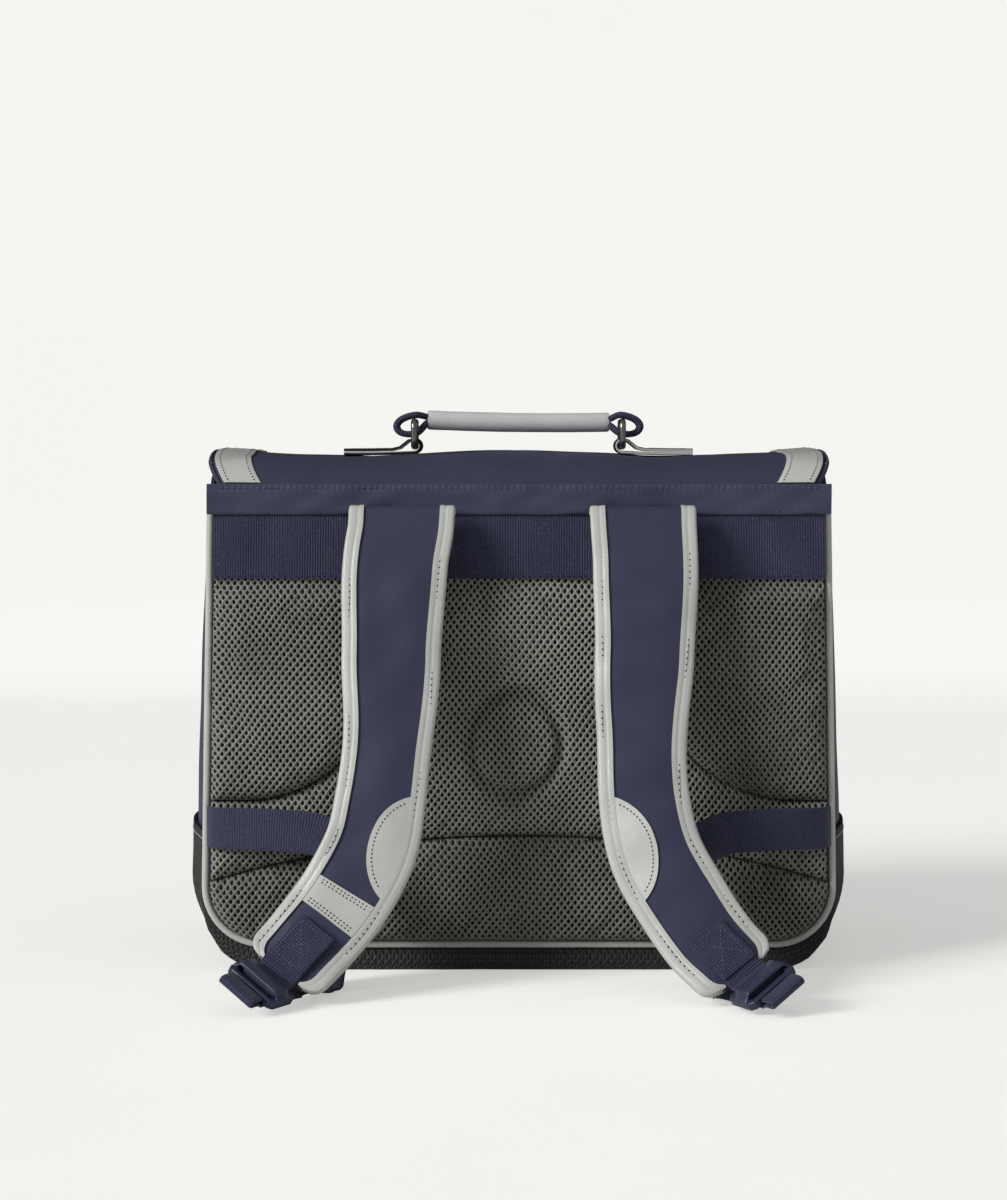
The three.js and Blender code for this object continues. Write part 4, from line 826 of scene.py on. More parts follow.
lumbarEdge = lambda x: pads["lumbarTop"] - pads["lumbarDrop"] * (x / body["seamHalfWidth"]) ** 2
cornerTurn = np.linspace(0, math.pi / 2, 45)
wingCorner = spread(
    pads["wingCornerStart"] - wingRun * np.sin(cornerTurn),
    pads["wingCornerTop"] - wingRise * np.cos(cornerTurn)
)


def wingLine(side):
    # The seam of a wing pad: in from the side, up a quarter of an ellipse and on to the top.
    line = np.vstack(
        [[padHalfAt(pads["wingBottom"]), pads["wingBottom"]], wingCorner, [pads["wingInner"], padTop]]
    )
    return line * np.array([side, 1.0])


lumbarX = np.linspace(-padHalfAt(0), padHalfAt(0), 31)
sewnLines = [
    wingLine(-1), wingLine(1), spread(lumbarX, lumbarEdge(lumbarX)),
    wholePath[:, :2] - wholePath[:, 2:] * pads["inset"],
]


def nearestOn(line, x, z):
    # The nearest point of a line of straight steps, and its distance, for whole arrays of points.
    start, step = line[:-1], np.diff(line, axis=0)
    px, pz = x[..., None], z[..., None]
    share = (
        ((px - start[:, 0]) * step[:, 0] + (pz - start[:, 1]) * step[:, 1])
        / np.maximum((step**2).sum(1), 1e-9)
    )
    share = clamp01(share)
    qx, qz = start[:, 0] + share * step[:, 0], start[:, 1] + share * step[:, 1]
    away = np.hypot(px - qx, pz - qz)
    pick = away.argmin(axis=-1)[..., None]
    take = lambda values: np.take_along_axis(values, pick, -1)[..., 0]
    return take(qx), take(qz), take(away)


def seamDistance(x, z):
    # The least of the distances to the sewn lines.
    return np.min([nearestOn(line, x, z)[2] for line in sewnLines], axis=0)


def padHeight(x, z, thickness):
    # Full between the seams, a quarter round and puckered towards them, flat under the webbing,
    # less an eased groove where the distance to the plain ring is small.
    away = seamDistance(x, z)
    full = mix(pads["seamHeight"], thickness, roundOff(away / pads["edgeRadius"]))
    full = full * (1 - pads["pinch"] * np.exp(-((away / pads["pinchReach"]) ** 2)))
    full = (
        full + pads["pucker"] * ripple(x, z, 11, 25) * np.exp(-(((away - 5) / 5) ** 2))
        + 0.4 * ripple(x, z, 48, 26)
    )
    fromRing = np.abs(np.hypot(x - pads["ringX"], (z - pads["ringZ"]) / 1.12) - pads["ringRadius"])
    full = full - pads["ringDepth"] * smooth(1 - fromRing / pads["ringHalf"])
    return mix(full, pads["backing"], smooth(1 - (padHeld - z) / pads["cinch"]))


def inside(outline, x, z):
    # Counts how often a ray to the right crosses the closed outline.
    a, b = outline, np.roll(outline, -1, axis=0)
    px, pz = x[..., None], z[..., None]
    crosses = (a[:, 1] > pz) != (b[:, 1] > pz)
    rise = np.where(np.abs(b[:, 1] - a[:, 1]) < 1e-9, 1e-9, b[:, 1] - a[:, 1])
    return (crosses & (px < a[:, 0] + (pz - a[:, 1]) / rise * (b[:, 0] - a[:, 0]))).sum(-1) % 2 == 1


padGroove = pads["groove"] / 2
upperRows = np.concatenate([np.linspace(pads["wingCornerTop"] + 2, padHeld, 18), [padTop]])


def wingPlan(side):
    # Rows from the side to the seam line, less half the groove.
    z = np.concatenate([wingCorner[:, 1] + padGroove, upperRows])[:, None]
    inner = (
        np.concatenate([wingCorner[:, 0], np.full(len(upperRows), pads["wingInner"])])[:, None] + padGroove
    )
    share = np.linspace(0, 1, 41)[None, :]
    return spread(side * mix(padHalfAt(z), inner, share), z)


def spinePlan():
    # Rows from the lumbar edge to the wings, then rows between the two wing seams.
    share = np.linspace(-1, 1, 141)[None, :]
    low = np.linspace(0, 1, 22)[:, None]
    lowX = share * padHalfAt(pads["wingBottom"]) + 0 * low
    lowZ = mix(lumbarEdge(lowX) + padGroove, pads["wingBottom"] - padGroove, low)
    half = np.concatenate([wingCorner[:, 0], np.full(len(upperRows), pads["wingInner"])])[:, None] - padGroove
    z = np.concatenate([wingCorner[:, 1] - padGroove + gap, upperRows])[:, None]
    return np.concatenate([spread(lowX, lowZ), spread(share * half, z)])


def lumbarPlan():
    # Rows from the rim, round at both corners, up to the arched edge.
    x = np.linspace(-1, 1, 121)[None, :] * pads["lumbarHalf"]
    radius = body["seamCorner"] - pads["inset"]
    past = clamp01((np.abs(x) - (body["seamHalfWidth"] - body["seamCorner"])) / radius)
    rim = cornerTop - radius * np.sqrt(1 - past**2)
    return spread(x, mix(rim, lumbarEdge(x) - padGroove, np.linspace(0, 1, 26)[:, None]))


def outlineOf(plan):
    # Once round the grid: first row, last column, last row, first column.
    return np.concatenate([plan[0, :-1], plan[:-1, -1], plan[-1, :0:-1], plan[:0:-1, 0]])


def simulateBack():
    # One cloth over the whole back, sewn down along the seams and blown up from behind.
    # The result is a lattice of offsets: the places after it less the places before.
    xs = np.arange(-187.5, 187.6, pads["simSpacing"])
    zs = np.arange(15, padHeld + pads["simSpacing"], pads["simSpacing"])
    x, z = np.meshgrid(xs, zs)
    offsets = np.zeros(x.shape + (3,))
    thickness = np.where(
        z < lumbarEdge(x), pads["lumbar"],
        np.where(np.abs(x) > pads["wingInner"], pads["wing"], pads["spine"])
    )
    height = padHeight(x, z, thickness) * pads["simHeight"]
    before = spread(x, padBack - height, z)
    cloth = makeMesh("backCloth", [gridPart(before, orient=False)], [])
    held = (seamDistance(x, z) < pads["sewnReach"]) | (z > padHeld - pads["heldEdge"])
    held |= np.abs(x) > padHalfAt(z) - pads["heldEdge"]
    group = cloth.vertex_groups.new(name="sewn")
    group.add(np.flatnonzero(held.ravel()).tolist(), 1.0, "REPLACE")
    modifier = cloth.modifiers.new("cloth", "CLOTH")
    for setting, value in clothSettings.items():
        setattr(modifier.settings, setting, value)
    modifier.settings.effector_weights.gravity = 0
    modifier.point_cache.frame_start, modifier.point_cache.frame_end = 1, pads["simFrames"]
    for frameNumber in range(1, pads["simFrames"] + 1):
        scene.frame_set(frameNumber)
    result = cloth.evaluated_get(bpy.context.evaluated_depsgraph_get()).data
    after = np.zeros(len(result.vertices) * 3, np.float32)
    result.vertices.foreach_get("co", after)
    offsets = after.reshape(x.shape + (3,)) / millimetre - before
    print("back cloth moved at most", np.abs(offsets).max(axis=(0, 1)).round(2), "mm")
    cap = np.array([pads["slideCap"], pads["swellCap"], pads["slideCap"]])
    offsets = np.clip(offsets, -cap, cap)
    scene.frame_set(1)
    bpy.data.objects.remove(cloth)
    return xs, zs, offsets


simX, simZ, simOffsets = simulateBack()


def clothOffset(x, z):
    # Reads the simulated lattice between its points.
    i = np.clip((x - simX[0]) / pads["simSpacing"], 0, len(simX) - 1.001)
    j = np.clip((z - simZ[0]) / pads["simSpacing"], 0, len(simZ) - 1.001)
    i0, j0 = i.astype(int), j.astype(int)
    fi, fj = (i - i0)[..., None], (j - j0)[..., None]
    low = mix(simOffsets[j0, i0], simOffsets[j0, i0 + 1], fi)
    high = mix(simOffsets[j0 + 1, i0], simOffsets[j0 + 1, i0 + 1], fi)
    return mix(low, high, fj) * smooth((padHeld - z) / pads["cinch"])[..., None]


def padSurface(x, z, thickness, depth):
    # The pad's height less the depth under its skin, plus the cloth's offset.
    height = padHeight(x, z, thickness) - depth
    offset = clothOffset(x, z)
    height = np.maximum(height - offset[..., 1], 0.4)
    return spread(x + offset[..., 0], padBack - height, z + offset[..., 2])


def knitSkin(plan, thickness):
    # A diamond lattice of oval holes. Each cell is a rhombus with a ring of faces round its hole,
    # and the hole has a short wall. Points outside the pad's outline move to it.
    outline = outlineOf(plan)
    low, high = outline.min(0), outline.max(0)
    wide, tall = pads["holePitch"], pads["holeRow"]
    rows = np.arange(math.floor(low[1] / tall) - 1, math.ceil(high[1] / tall) + 2)
    cols = np.arange(math.floor(low[0] / wide) - 1, math.ceil(high[0] / wide) + 2)
    row, col = [a.ravel() for a in np.meshgrid(rows, cols)]
    cx, cz = (col + 0.5 * (row % 2)) * wide, row * tall
    cx, cz = cx + pads["drift"] * ripple(cx, cz, 60, 27), cz + pads["drift"] * ripple(cx, cz, 52, 28)
    closed = np.vstack([outline, outline[:1]])
    reach = nearestOn(closed, cx, cz)[2]
    keep = inside(outline, cx, cz) | (reach < 0.8)
    cx, cz = cx[keep], cz[keep]
    turn = np.arange(8) * math.pi / 4
    rim = (
        spread([0.5, 0.25, 0, -0.25, -0.5, -0.25, 0, 0.25], [0, 0.5, 1, 0.5, 0, -0.5, -1, -0.5])
        * np.array([wide, tall])
    )
    hole = spread(pads["holeHalfWidth"] * np.cos(turn), pads["holeHalfHeight"] * np.sin(turn))
    jitter = 0.12 * spread(ripple(cx, cz, 13, 21), ripple(cx, cz, 17, 22))[:, None]
    rings = [rim[None] + 0 * jitter, hole[None] + jitter, hole[None] * 0.92 + jitter]
    depths = [0.0, pads["rimDip"], pads["holeDepth"]]
    points = np.stack([spread(cx, cz)[:, None] + ring for ring in rings], axis=1)
    x, z = points[..., 0], points[..., 1]
    outside = ~inside(outline, x, z)
    nearX, nearZ = nearestOn(closed, x[outside], z[outside])[:2]
    x[outside], z[outside] = nearX, nearZ
    depth = np.broadcast_to(np.array(depths)[None, :, None], x.shape).copy()
    depth[outside] += 2.0
    surface = padSurface(x, z, thickness, depth)
    count = len(cx)
    start = (np.arange(count) * 24)[:, None, None]
    k = np.arange(8)
    nextK = (k + 1) % 8
    quads = np.concatenate(
        [np.stack([r * 8 + k, r * 8 + nextK, r * 8 + 8 + nextK, r * 8 + 8 + k], -1) for r in (0, 1)]
    )
    faces = (quads[None] + start).reshape(-1, 4)
    flat = spread(x, z).reshape(-1, 2)
    return {"points": surface.reshape(-1, 3), "faces": [(faces, flat[faces])], "material": 0, "orient": False}


def padPiece(name, plan, thickness, node, fill):
    # The knit skin over a closed plain backing whose near-black colour is painted shade behind the holes, as
    # one piece with its shared points merged.
    x, z = plan[..., 0], plan[..., 1]
    top = padSurface(x, z, thickness, 1.3)
    bottom = spread(x, padBack, z)
    parts = [knitSkin(plan, thickness), slabPart(top, bottom, material=1)]
    piece = addPiece(name, parts, [knits[name], backing], "spacer_mesh", node, fill=fill, sharp=180.0)
    merge = bmesh.new()
    merge.from_mesh(piece.data)
    bmesh.ops.remove_doubles(merge, verts=merge.verts, dist=0.00002)
    merge.to_mesh(piece.data)
    merge.free()
    return piece


padPiece("wingPadLeft", wingPlan(-1), pads["wing"], "wing_pad_left", 0.7)
padPiece("wingPadRight", wingPlan(1), pads["wing"], "wing_pad_right", 0.7)
padPiece("spinePad", spinePlan(), pads["spine"], "spine_pad", 0.6)
padPiece("lumbarPad", lumbarPlan(), pads["lumbar"], "lumbar_pad", 0.75)
print("pads made")


bands = {
    "webThickness": 1.6, "ribPitch": 1.6, "ribHeight": 0.34, "hemBottom": 275.6, "hemTop": 293.8,
    "hemHalf": 186.5, "hemThickness": 1.5, "hemRoll": 0.7, "stitchPitch": 3.7,
}
webOuter = padBack - pads["backing"] - gap - bands["webThickness"]
hemOuter = webOuter - gap - bands["hemThickness"]


def crossBand(bottom, top, halfAt, outer, thickness, columns, rows, relief):
    # A slab over even shares of the half width, with its face lifted by the relief.
    x = np.linspace(-1, 1, columns + 1)[None, :]
    z = np.linspace(top, bottom, rows + 1)[:, None]
    half = halfAt(z) + 0 * z
    face = spread(x * half, outer - relief(x * half, z), z)
    rear = spread(x * half, outer + thickness, z + 0 * x)
    return slabPart(face, rear)


def ribRelief(x, z):
    # Ribs as a power of a sine across the band, rounded off at both edges, with a soft ripple.
    ribs = np.abs(np.sin(math.pi * x / bands["ribPitch"])) ** 0.7
    edge = clamp01(np.minimum(z - pads["webBottom"], pads["webTop"] - z) / 1.2)
    return (bands["ribHeight"] * ribs + 0.35 * ripple(x, z, 60, 31)) * roundOff(edge) - 0.3


webPart = crossBand(
    pads["webBottom"], pads["webTop"], padHalfAt, webOuter, bands["webThickness"], 1050, 6, ribRelief
)
towardsBack = np.array([[0, -1.0, 0]])
webStitch = spread(np.linspace(-183, 183, 200), webOuter - 0.05, pads["webBottom"] + 1.6)
addPiece(
    "backWebbing", [webPart, stitchRow(webStitch, towardsBack, 3.4, 2.2, 0.26, 1)],
    [webbing, navyThread], "navy_webbing", "back_webbing",
)


def hemRelief(x, z):
    # A rolled strip: quarter rounds at both edges, and a groove with puckers along the seam.
    edge = clamp01(np.minimum(z - bands["hemBottom"], bands["hemTop"] - z) / 1.5)
    pucker = (
        0.16 * np.cos(2 * math.pi * x / bands["stitchPitch"])
        * np.exp(-(((z - bands["hemTop"] + 2.4) / 1.8) ** 2))
    )
    seam = -0.35 * np.exp(-(((z - bands["hemTop"] + 2.4) / 0.8) ** 2))
    return bands["hemRoll"] * (roundOff(edge) - 0.6) + pucker + seam + 0.7 * ripple(x, 2 * z, 30, 33) * edge


hemPart = crossBand(
    bands["hemBottom"], bands["hemTop"], lambda z: bands["hemHalf"] + 0 * z, hemOuter, bands["hemThickness"],
    400, 14, hemRelief
)
hemStitch = spread(np.linspace(-180, 180, 200), hemOuter - 0.05, bands["hemTop"] - 2.4)
hemSecond = spread(np.linspace(-180, 180, 200), hemOuter - 0.05, bands["hemBottom"] + 2.0)
# The hem band wears the lighter navy, painted light.
addPiece(
    "hemBand",
    [
        hemPart, stitchRow(hemStitch, towardsBack, bands["stitchPitch"], 2.7, 0.36, 1),
        stitchRow(hemSecond, towardsBack, bands["stitchPitch"], 2.5, 0.24, 1)
    ],
    [litHemCloth, boxThread], "navy_cloth", "hem_band",
)
print("webbing and hem made")


flap = {
    "thickness": 2.6, "half": 186.5, "rootHalf": 170.0, "top": 312.0, "front": 17.5, "hem": 118.0,
    "corner": 32.0, "wave": 1.8, "waveLength": 200.0, "crease": 1.0, "stripWidth": 22.0, "stripInset": 1.8,
    "stripThickness": 1.0, "edging": 1.8, "edgingInner": 0.4, "stitchPitch": 2.4, "stripRows": (0.14, 0.86),
    "columns": 90,
}
flapRootY, flapRootZ, flapFrontY = webOuter, pads["webTop"] + gap, body["seamY"] + flap["front"]
flapDepths = np.array([0, 0, 0.018, 0.075, 0.17, 0.32, 0.5, 0.7, 0.83, 0.92, 0.97])
flapRises = np.array([-0.36, 0.08, 0.38, 0.7, 0.9, 0.98, 1, 0.98, 0.86, 0.54, 0])
fallDepths = np.array([0.99, 1, 1, 0.992])
fallDrops = np.array([0.16, 0.4, 0.7, 1])
flapY = mix(flapRootY, flapFrontY, np.concatenate([flapDepths, fallDepths]))
flapZ = np.concatenate([mix(body["top"], flap["top"], flapRises), mix(body["top"], flap["hem"], fallDrops)])
flapZ[0] = flapRootZ
flapLine = evenly(curveThrough(spread(0.0, flapY, flapZ)), 2.0)
flapRun = runLength(flapLine)
flapAlong = tangents(flapLine)
flapSpread = smooth((flapLine[:, 2] - flapRootZ) / (flap["top"] - flapRootZ))
flapHalf = np.where(flapLine[:, 1] < 0, mix(flap["rootHalf"], flap["half"], flapSpread), flap["half"])
flapToGo = flapRun[-1] - flapRun
flapRounding = flap["corner"] * (1 - roundOff(flapToGo / flap["corner"]))
flapLevel = smooth((flapLine[:, 2] - body["top"]) / (flap["top"] - body["top"]))
flapUp = spread(0.0, -flapAlong[:, 2], flapAlong[:, 1])


def onFlap(rows, x, lift):
    # A point of the flap at a distance x from its middle: the side curve, moved along its normal.
    base, up = flapLine[rows], flapUp[rows]
    while base.ndim < np.ndim(x) + 1:
        base, up = base[..., None, :], up[..., None, :]
    level = flapLevel[rows].reshape(base.shape[:-1])
    run = flapRun[rows].reshape(base.shape[:-1])
    wave = level * flap["wave"] * np.cos(2 * math.pi * x / flap["waveLength"])
    crease = flap["crease"] * ripple(x, run, 46, 41) * clamp01((run - 12) / 30) * clamp01(level + 0.4)
    lift = lift + crease
    return spread(x + 0 * lift, base[..., 1] + up[..., 1] * lift, base[..., 2] + up[..., 2] * lift + wave)


flapRows = np.arange(len(flapLine))
flapShare = (
    np.sin(np.linspace(-1, 1, flap["columns"] + 1) * math.pi / 2 * 0.98) / math.sin(math.pi / 2 * 0.98)
)
flapX = flapShare[None, :] * (flapHalf - flapRounding)[:, None]
rolled = lambda top: 1.0 * (1 - roundOff((1 - np.abs(flapShare)[None, :]) / 0.008)) * (-1 if top else 1)
flapParts = [
    slabPart(
        onFlap(flapRows, flapX, rolled(True)), onFlap(flapRows, flapX, rolled(False) - flap["thickness"])
    )
]
hemRow = len(flapLine) - 5
flapParts.append(
    stitchRow(
        onFlap(flapRows[[hemRow]], np.linspace(-150, 150, 200)[None], 0.1)[0], flapUp[hemRow][None], 3.6, 2.6,
        0.28, 1
    )
)
addPiece("flapCloth", flapParts, [navyCloth, navyThread], "navy_cloth", "flap")

stripFirst = int(np.argmax(flapLine[:, 2] > bands["hemTop"] - 1.5))
stripRows = flapRows[stripFirst:]
for name, node, side in (("flapStripLeft", "flap_strip_left", -1), ("flapStripRight", "flap_strip_right", 1)):
    outer = np.minimum(flapHalf - flap["stripInset"], flapHalf - flapRounding - gap)[stripRows]
    inner = np.minimum(
        (flapHalf - flap["stripInset"] - flap["stripWidth"])[stripRows], outer - flap["stripWidth"] / 4
    )
    share = np.linspace(0, 1, 13)[None, :]
    x = side * mix(inner[:, None], outer[:, None], share)
    soft = 0.35 * (1 - roundOff(np.minimum(share, 1 - share) / 0.06))
    parts = [
        slabPart(
            onFlap(stripRows, x, gap + flap["stripThickness"] - soft), onFlap(stripRows, x, gap + 0 * soft)
        )
    ]
    for place in flap["stripRows"]:
        line = onFlap(stripRows, side * mix(inner, outer, place)[:, None], gap + flap["stripThickness"])[:, 0]
        parts += seamRows(line, flapUp[stripRows], flap["stitchPitch"])
    addPiece(name, parts, [tape, tapeThread, needleHoleShade], "reflective_tape", node)


def edgePath():
    # The flap's free edge: down its left side, along the front and back up, with its outward direction.
    side = onFlap(stripRows, -(flapHalf - flapRounding)[stripRows][:, None], 0.0)[:, 0]
    reach = (flapHalf - flapRounding)[-1]
    front = onFlap(flapRows[[-1]], np.linspace(-reach, reach, 80)[None, 1:-1], 0.0)[0]
    line = np.concatenate([side, front, side[::-1] * np.array([-1, 1, 1])])
    up = np.concatenate([flapUp[stripRows], np.repeat(flapUp[-1:], len(front), 0), flapUp[stripRows][::-1]])
    return line, up


edgeLine, edgeUp = edgePath()
edgeOut = unit(np.cross(tangents(edgeLine), edgeUp))
edgeOut *= np.sign(np.sum(edgeOut * (edgeLine - edgeLine.mean(0)), axis=1)).mean() or 1.0
tapeTop, tapeLow = flap["stripThickness"] / 2, -flap["thickness"] - flap["stripThickness"] / 2
turn = np.linspace(-math.pi / 2, math.pi / 2, 9)
edgeProfile = lambda start, reach: (
    start + (reach - start) * np.cos(turn), mix(tapeLow, tapeTop, (np.sin(turn) + 1) / 2)
)


def edgeGrid(start, reach):
    # The edging's profile carried along the flap's edge.
    out, high = edgeProfile(start, reach)
    return edgeLine[:, None] + edgeOut[:, None] * out[None, :, None] + edgeUp[:, None] * high[None, :, None]


addPiece(
    "flapEdging", [slabPart(edgeGrid(gap, gap + flap["edging"]), edgeGrid(gap, gap + flap["edgingInner"]))],
    [fineWebbing],
    "navy_webbing", "flap_edging",
)
print("flap made")


straps = {
    "top": 281.0, "reach": 96.0, "width": 64.0, "thickness": 8.0, "rootThickness": 3.0, "endThickness": 5.5,
    "endTaper": 26.0, "endRadius": 10.0, "bindingWidth": 9.0, "bindingThickness": 1.0, "bindingClear": 0.4,
    "patchRadius": 29.0, "patchThickness": 0.9, "patchShare": 0.712, "labelShare": 0.845, "labelWidth": 20.0,
    "stitchPitch": 3.7, "finePitch": 2.4, "stitchIn": 3.5, "stitchDip": 0.32, "crease": 0.9,
    "webWidth": 25.0, "bindingFrom": 0.085, "rimTurn": 1.25, "patchStitchIn": 3.0, "patchArc": 1.15,
    "labelThickness": 1.0, "labelRows": (-8.2, -6.2, 6.2, 8.2),
    "left": [
        (0.364, 0, 0.89), (0.364, 0, 0.954), (0.366, 0.09, 0.993), (0.369, 0.169, 0.954),
        (0.384, 0.231, 0.886), (0.394, 0.356, 0.722), (0.399, 0.481, 0.56), (0.424, 0.606, 0.401),
        (0.452, 0.669, 0.306), (0.531, 0.752, 0.205), (0.626, 0.856, 0.126), (0.715, 0.975, 0.065),
    ],
    "right": [
        (0.386, 0, 0.89), (0.386, 0, 0.954), (0.387, 0.09, 0.993), (0.388, 0.169, 0.954),
        (0.392, 0.231, 0.886), (0.388, 0.356, 0.722), (0.376, 0.481, 0.56), (0.38, 0.606, 0.401),
        (0.414, 0.679, 0.292), (0.49, 0.763, 0.199), (0.573, 0.877, 0.12), (0.665, 1, 0.062),
    ],
    "widthPlaces": [0, 0.22, 0.38, 0.56, 0.78, 1], "widthShares": [1, 0.97, 0.91, 0.81, 0.86, 0.84],
}
strapRootY = hemOuter - gap - straps["rootThickness"] / 2
crownPlaces, crownShares = [0, 0.2, 0.4, 0.6, 0.8, 0.92, 1], [1, 0.985, 0.94, 0.84, 0.66, 0.52, 0.4]


def easedWidth(along):
    # The width's share, eased between the two known places around a point.
    places, shares = np.array(straps["widthPlaces"]), np.array(straps["widthShares"])
    k = np.clip(np.searchsorted(places, along) - 1, 0, len(places) - 2)
    return mix(shares[k], shares[k + 1], smooth((along - places[k]) / (places[k + 1] - places[k])))


def strapFrame(side, rows):
    # The strap's centre line, with its cross and outward directions, half width and thickness.
    table = np.array(rows, float)
    points = spread(
        side * table[:, 0] * body["seamHalfWidth"], strapRootY - table[:, 1] * straps["reach"],
        table[:, 2] * straps["top"]
    )
    line = evenly(curveThrough(points), 1.5)
    run = runLength(line)
    along = tangents(line)
    across = unit(np.array([1.0, 0, 0]) - along[:, 0:1] * along)
    share, toGo = run / run[-1], run[-1] - run
    rounding = straps["endRadius"] * (1 - roundOff(toGo / straps["endRadius"]))
    half = straps["width"] * easedWidth(share) / 2 - rounding
    taper = mix(straps["endThickness"], straps["thickness"], smooth(toGo / straps["endTaper"]))
    thickness = mix(straps["rootThickness"], taper, smooth((share - 0.16) / 0.1))
    return {
        "line": line, "run": run, "along": along, "across": across, "up": np.cross(along, across),
        "half": half, "thickness": thickness, "length": run[-1], "side": side,
    }


def bodyHalfOf(half):
    # Half the width of the padded body: the strap's, less the binding and its clearance.
    return half - straps["bindingThickness"] - straps["bindingClear"]


def onStrap(strap, run, x, lift, face=1.0):
    # A point at a distance along the strap and x across it, lifted off its crowned face.
    read = lambda values: atLength(strap["line"], values, run)
    point, across, up = read(strap["line"]), unit(read(strap["across"])), unit(read(strap["up"]))
    half, thickness = read(strap["half"])[..., 0], read(strap["thickness"])[..., 0]
    crown = np.interp(np.abs(x) / bodyHalfOf(half), crownPlaces, crownShares)
    soft = (
        straps["crease"] * ripple(run, x, 38, 51 + int(strap["side"])) * smooth((run - 40) / 60)
        * (1 - clamp01(np.abs(x) / half) ** 4)
    )
    height = face * (crown * thickness / 2 + lift + np.where(face > 0, soft, 0))
    return point + across * np.asarray(x)[..., None] + up * height[..., None], up


def bindingGrid(strap, lift):
    # The tape's outline over the strap's rim: in from the face, round the rim and back underneath.
    run = strap["run"][:, None]
    half = bodyHalfOf(strap["half"])[:, None]
    start = np.maximum(strap["half"][:, None] - straps["bindingWidth"], straps["webWidth"] / 2 + 0.6)
    start = np.minimum(start, half - 2)
    inner = mix(start, half - 1.2, np.linspace(0, 1, 15)[None, :])
    dip = straps["stitchDip"] * np.exp(-(((inner - start - straps["stitchIn"]) / 0.9) ** 2))
    crown = np.interp(inner / half, crownPlaces, crownShares)
    thick = strap["thickness"][:, None]
    rim = crownShares[-1] * thick / 2 + lift + 0.25
    turnRound = np.linspace(straps["rimTurn"], -straps["rimTurn"], 7)[None, :]
    x = np.concatenate([inner, half - 0.6 + (lift + 0.6) * np.cos(turnRound), inner[:, ::-1]], 1)
    top = crown * thick / 2 + lift - dip
    edge = 0.3 * np.sin(turnRound) / math.sin(straps["rimTurn"]) + (rim - 0.3) * np.sin(turnRound)
    return run, x, np.concatenate([top, edge, -top[:, ::-1]], 1)


def strapTapes(strap, edge):
    # One binding: a slab between the tape's outer and inner outline, with a seam on both faces.
    first = int(straps["bindingFrom"] * len(strap["run"]))
    strap = {key: value[first:] if isinstance(value, np.ndarray) else value for key, value in strap.items()}
    run, outX, outZ = bindingGrid(strap, straps["bindingClear"] + straps["bindingThickness"])
    run, inX, inZ = bindingGrid(strap, straps["bindingClear"])
    place = lambda x, z: (
        strap["line"][:, None] + strap["across"][:, None] * (edge * x)[..., None]
        + strap["up"][:, None] * z[..., None]
    )
    soft = straps["crease"] * ripple(run, edge * outX, 38, 51 + int(strap["side"])) * smooth((run - 40) / 60)
    soft = soft * (1 - clamp01(outX / strap["half"][:, None]) ** 4) * (outZ > 0)
    parts = [slabPart(place(outX, outZ + soft), place(inX, inZ + soft))]
    start = np.maximum(strap["half"] - straps["bindingWidth"], straps["webWidth"] / 2 + 0.6)
    stitchX = np.minimum(start, bodyHalfOf(strap["half"]) - 2) + straps["stitchIn"]
    for face in (1.0, -1.0):
        lift = straps["bindingClear"] + straps["bindingThickness"] - straps["stitchDip"]
        line, up = onStrap(strap, strap["run"], edge * stitchX, lift, face)
        parts += seamRows(line[4:-6], (up * face)[4:-6], straps["stitchPitch"])
    return parts


def strapBody(strap):
    # The crowned face and the underside, over shares of the half width spaced as a sine.
    share = np.sin(np.linspace(-1, 1, 33) * math.pi / 2)
    run = np.repeat(strap["run"][:, None], len(share), 1)
    x = share[None, :] * bodyHalfOf(strap["half"])[:, None]
    top = onStrap(strap, run, x, 0.0)[0]
    low = onStrap(strap, run, x, 0.0, -1.0)[0]
    return slabPart(top, low)


def strapPatch(strap):
    # Half a disc against the inner binding, with one stitched row inside its arc.
    edge, radius = -strap["side"], straps["patchRadius"]
    centre = straps["patchShare"] * strap["length"]
    half = float(atLength(strap["line"], strap["half"], np.array([centre]))[0, 0])
    hidden = straps["bindingWidth"] - 0.4
    reach = math.asin(math.sqrt(1 - (hidden / radius) ** 2))
    turnTo = np.sin(np.linspace(-reach, reach, 61))[:, None]
    deep = radius * np.sqrt(1 - turnTo**2)
    share = np.linspace(0, 1, 15)[None, :]
    x = edge * (half - mix(hidden, deep, share))
    run = centre + radius * turnTo + 0 * share
    top = onStrap(strap, run, x, gap + straps["patchThickness"])[0]
    low = onStrap(strap, run, x, gap)[0]
    parts = [slabPart(top, low)]
    arc, arcRadius = np.linspace(
        -straps["patchArc"], straps["patchArc"], 80
    ), radius - straps["patchStitchIn"]
    alongArc, acrossArc = centre + arcRadius * np.sin(arc), edge * (half - arcRadius * np.cos(arc))
    line, up = onStrap(strap, alongArc, acrossArc, gap + straps["patchThickness"])
    return parts + seamRows(line, up, straps["finePitch"])


def strapLabel(strap):
    # A plain patch as wide as the bindings leave, with two stitched rows at both ends.
    centre, halfWide = straps["labelShare"] * strap["length"], straps["labelWidth"] / 2
    run = (centre + np.linspace(-halfWide, halfWide, 17))[:, None]
    half = atLength(strap["line"], strap["half"], run[:, 0])
    reach = np.maximum(half - straps["bindingWidth"], straps["webWidth"] / 2 + 0.6) - gap
    x = np.linspace(-1, 1, 41)[None, :] * reach
    run = run + 0 * x
    top = onStrap(strap, run, x, gap + straps["labelThickness"])[0]
    low = onStrap(strap, run, x, gap)[0]
    parts = [slabPart(top, low)]
    for place in straps["labelRows"]:
        across = np.linspace(-1, 1, 60) * (float(reach.min()) - 1)
        line, up = onStrap(strap, centre + place + 0 * across, across, gap + straps["labelThickness"])
        parts += seamRows(line, up, straps["finePitch"], radius=0.26)
    return parts


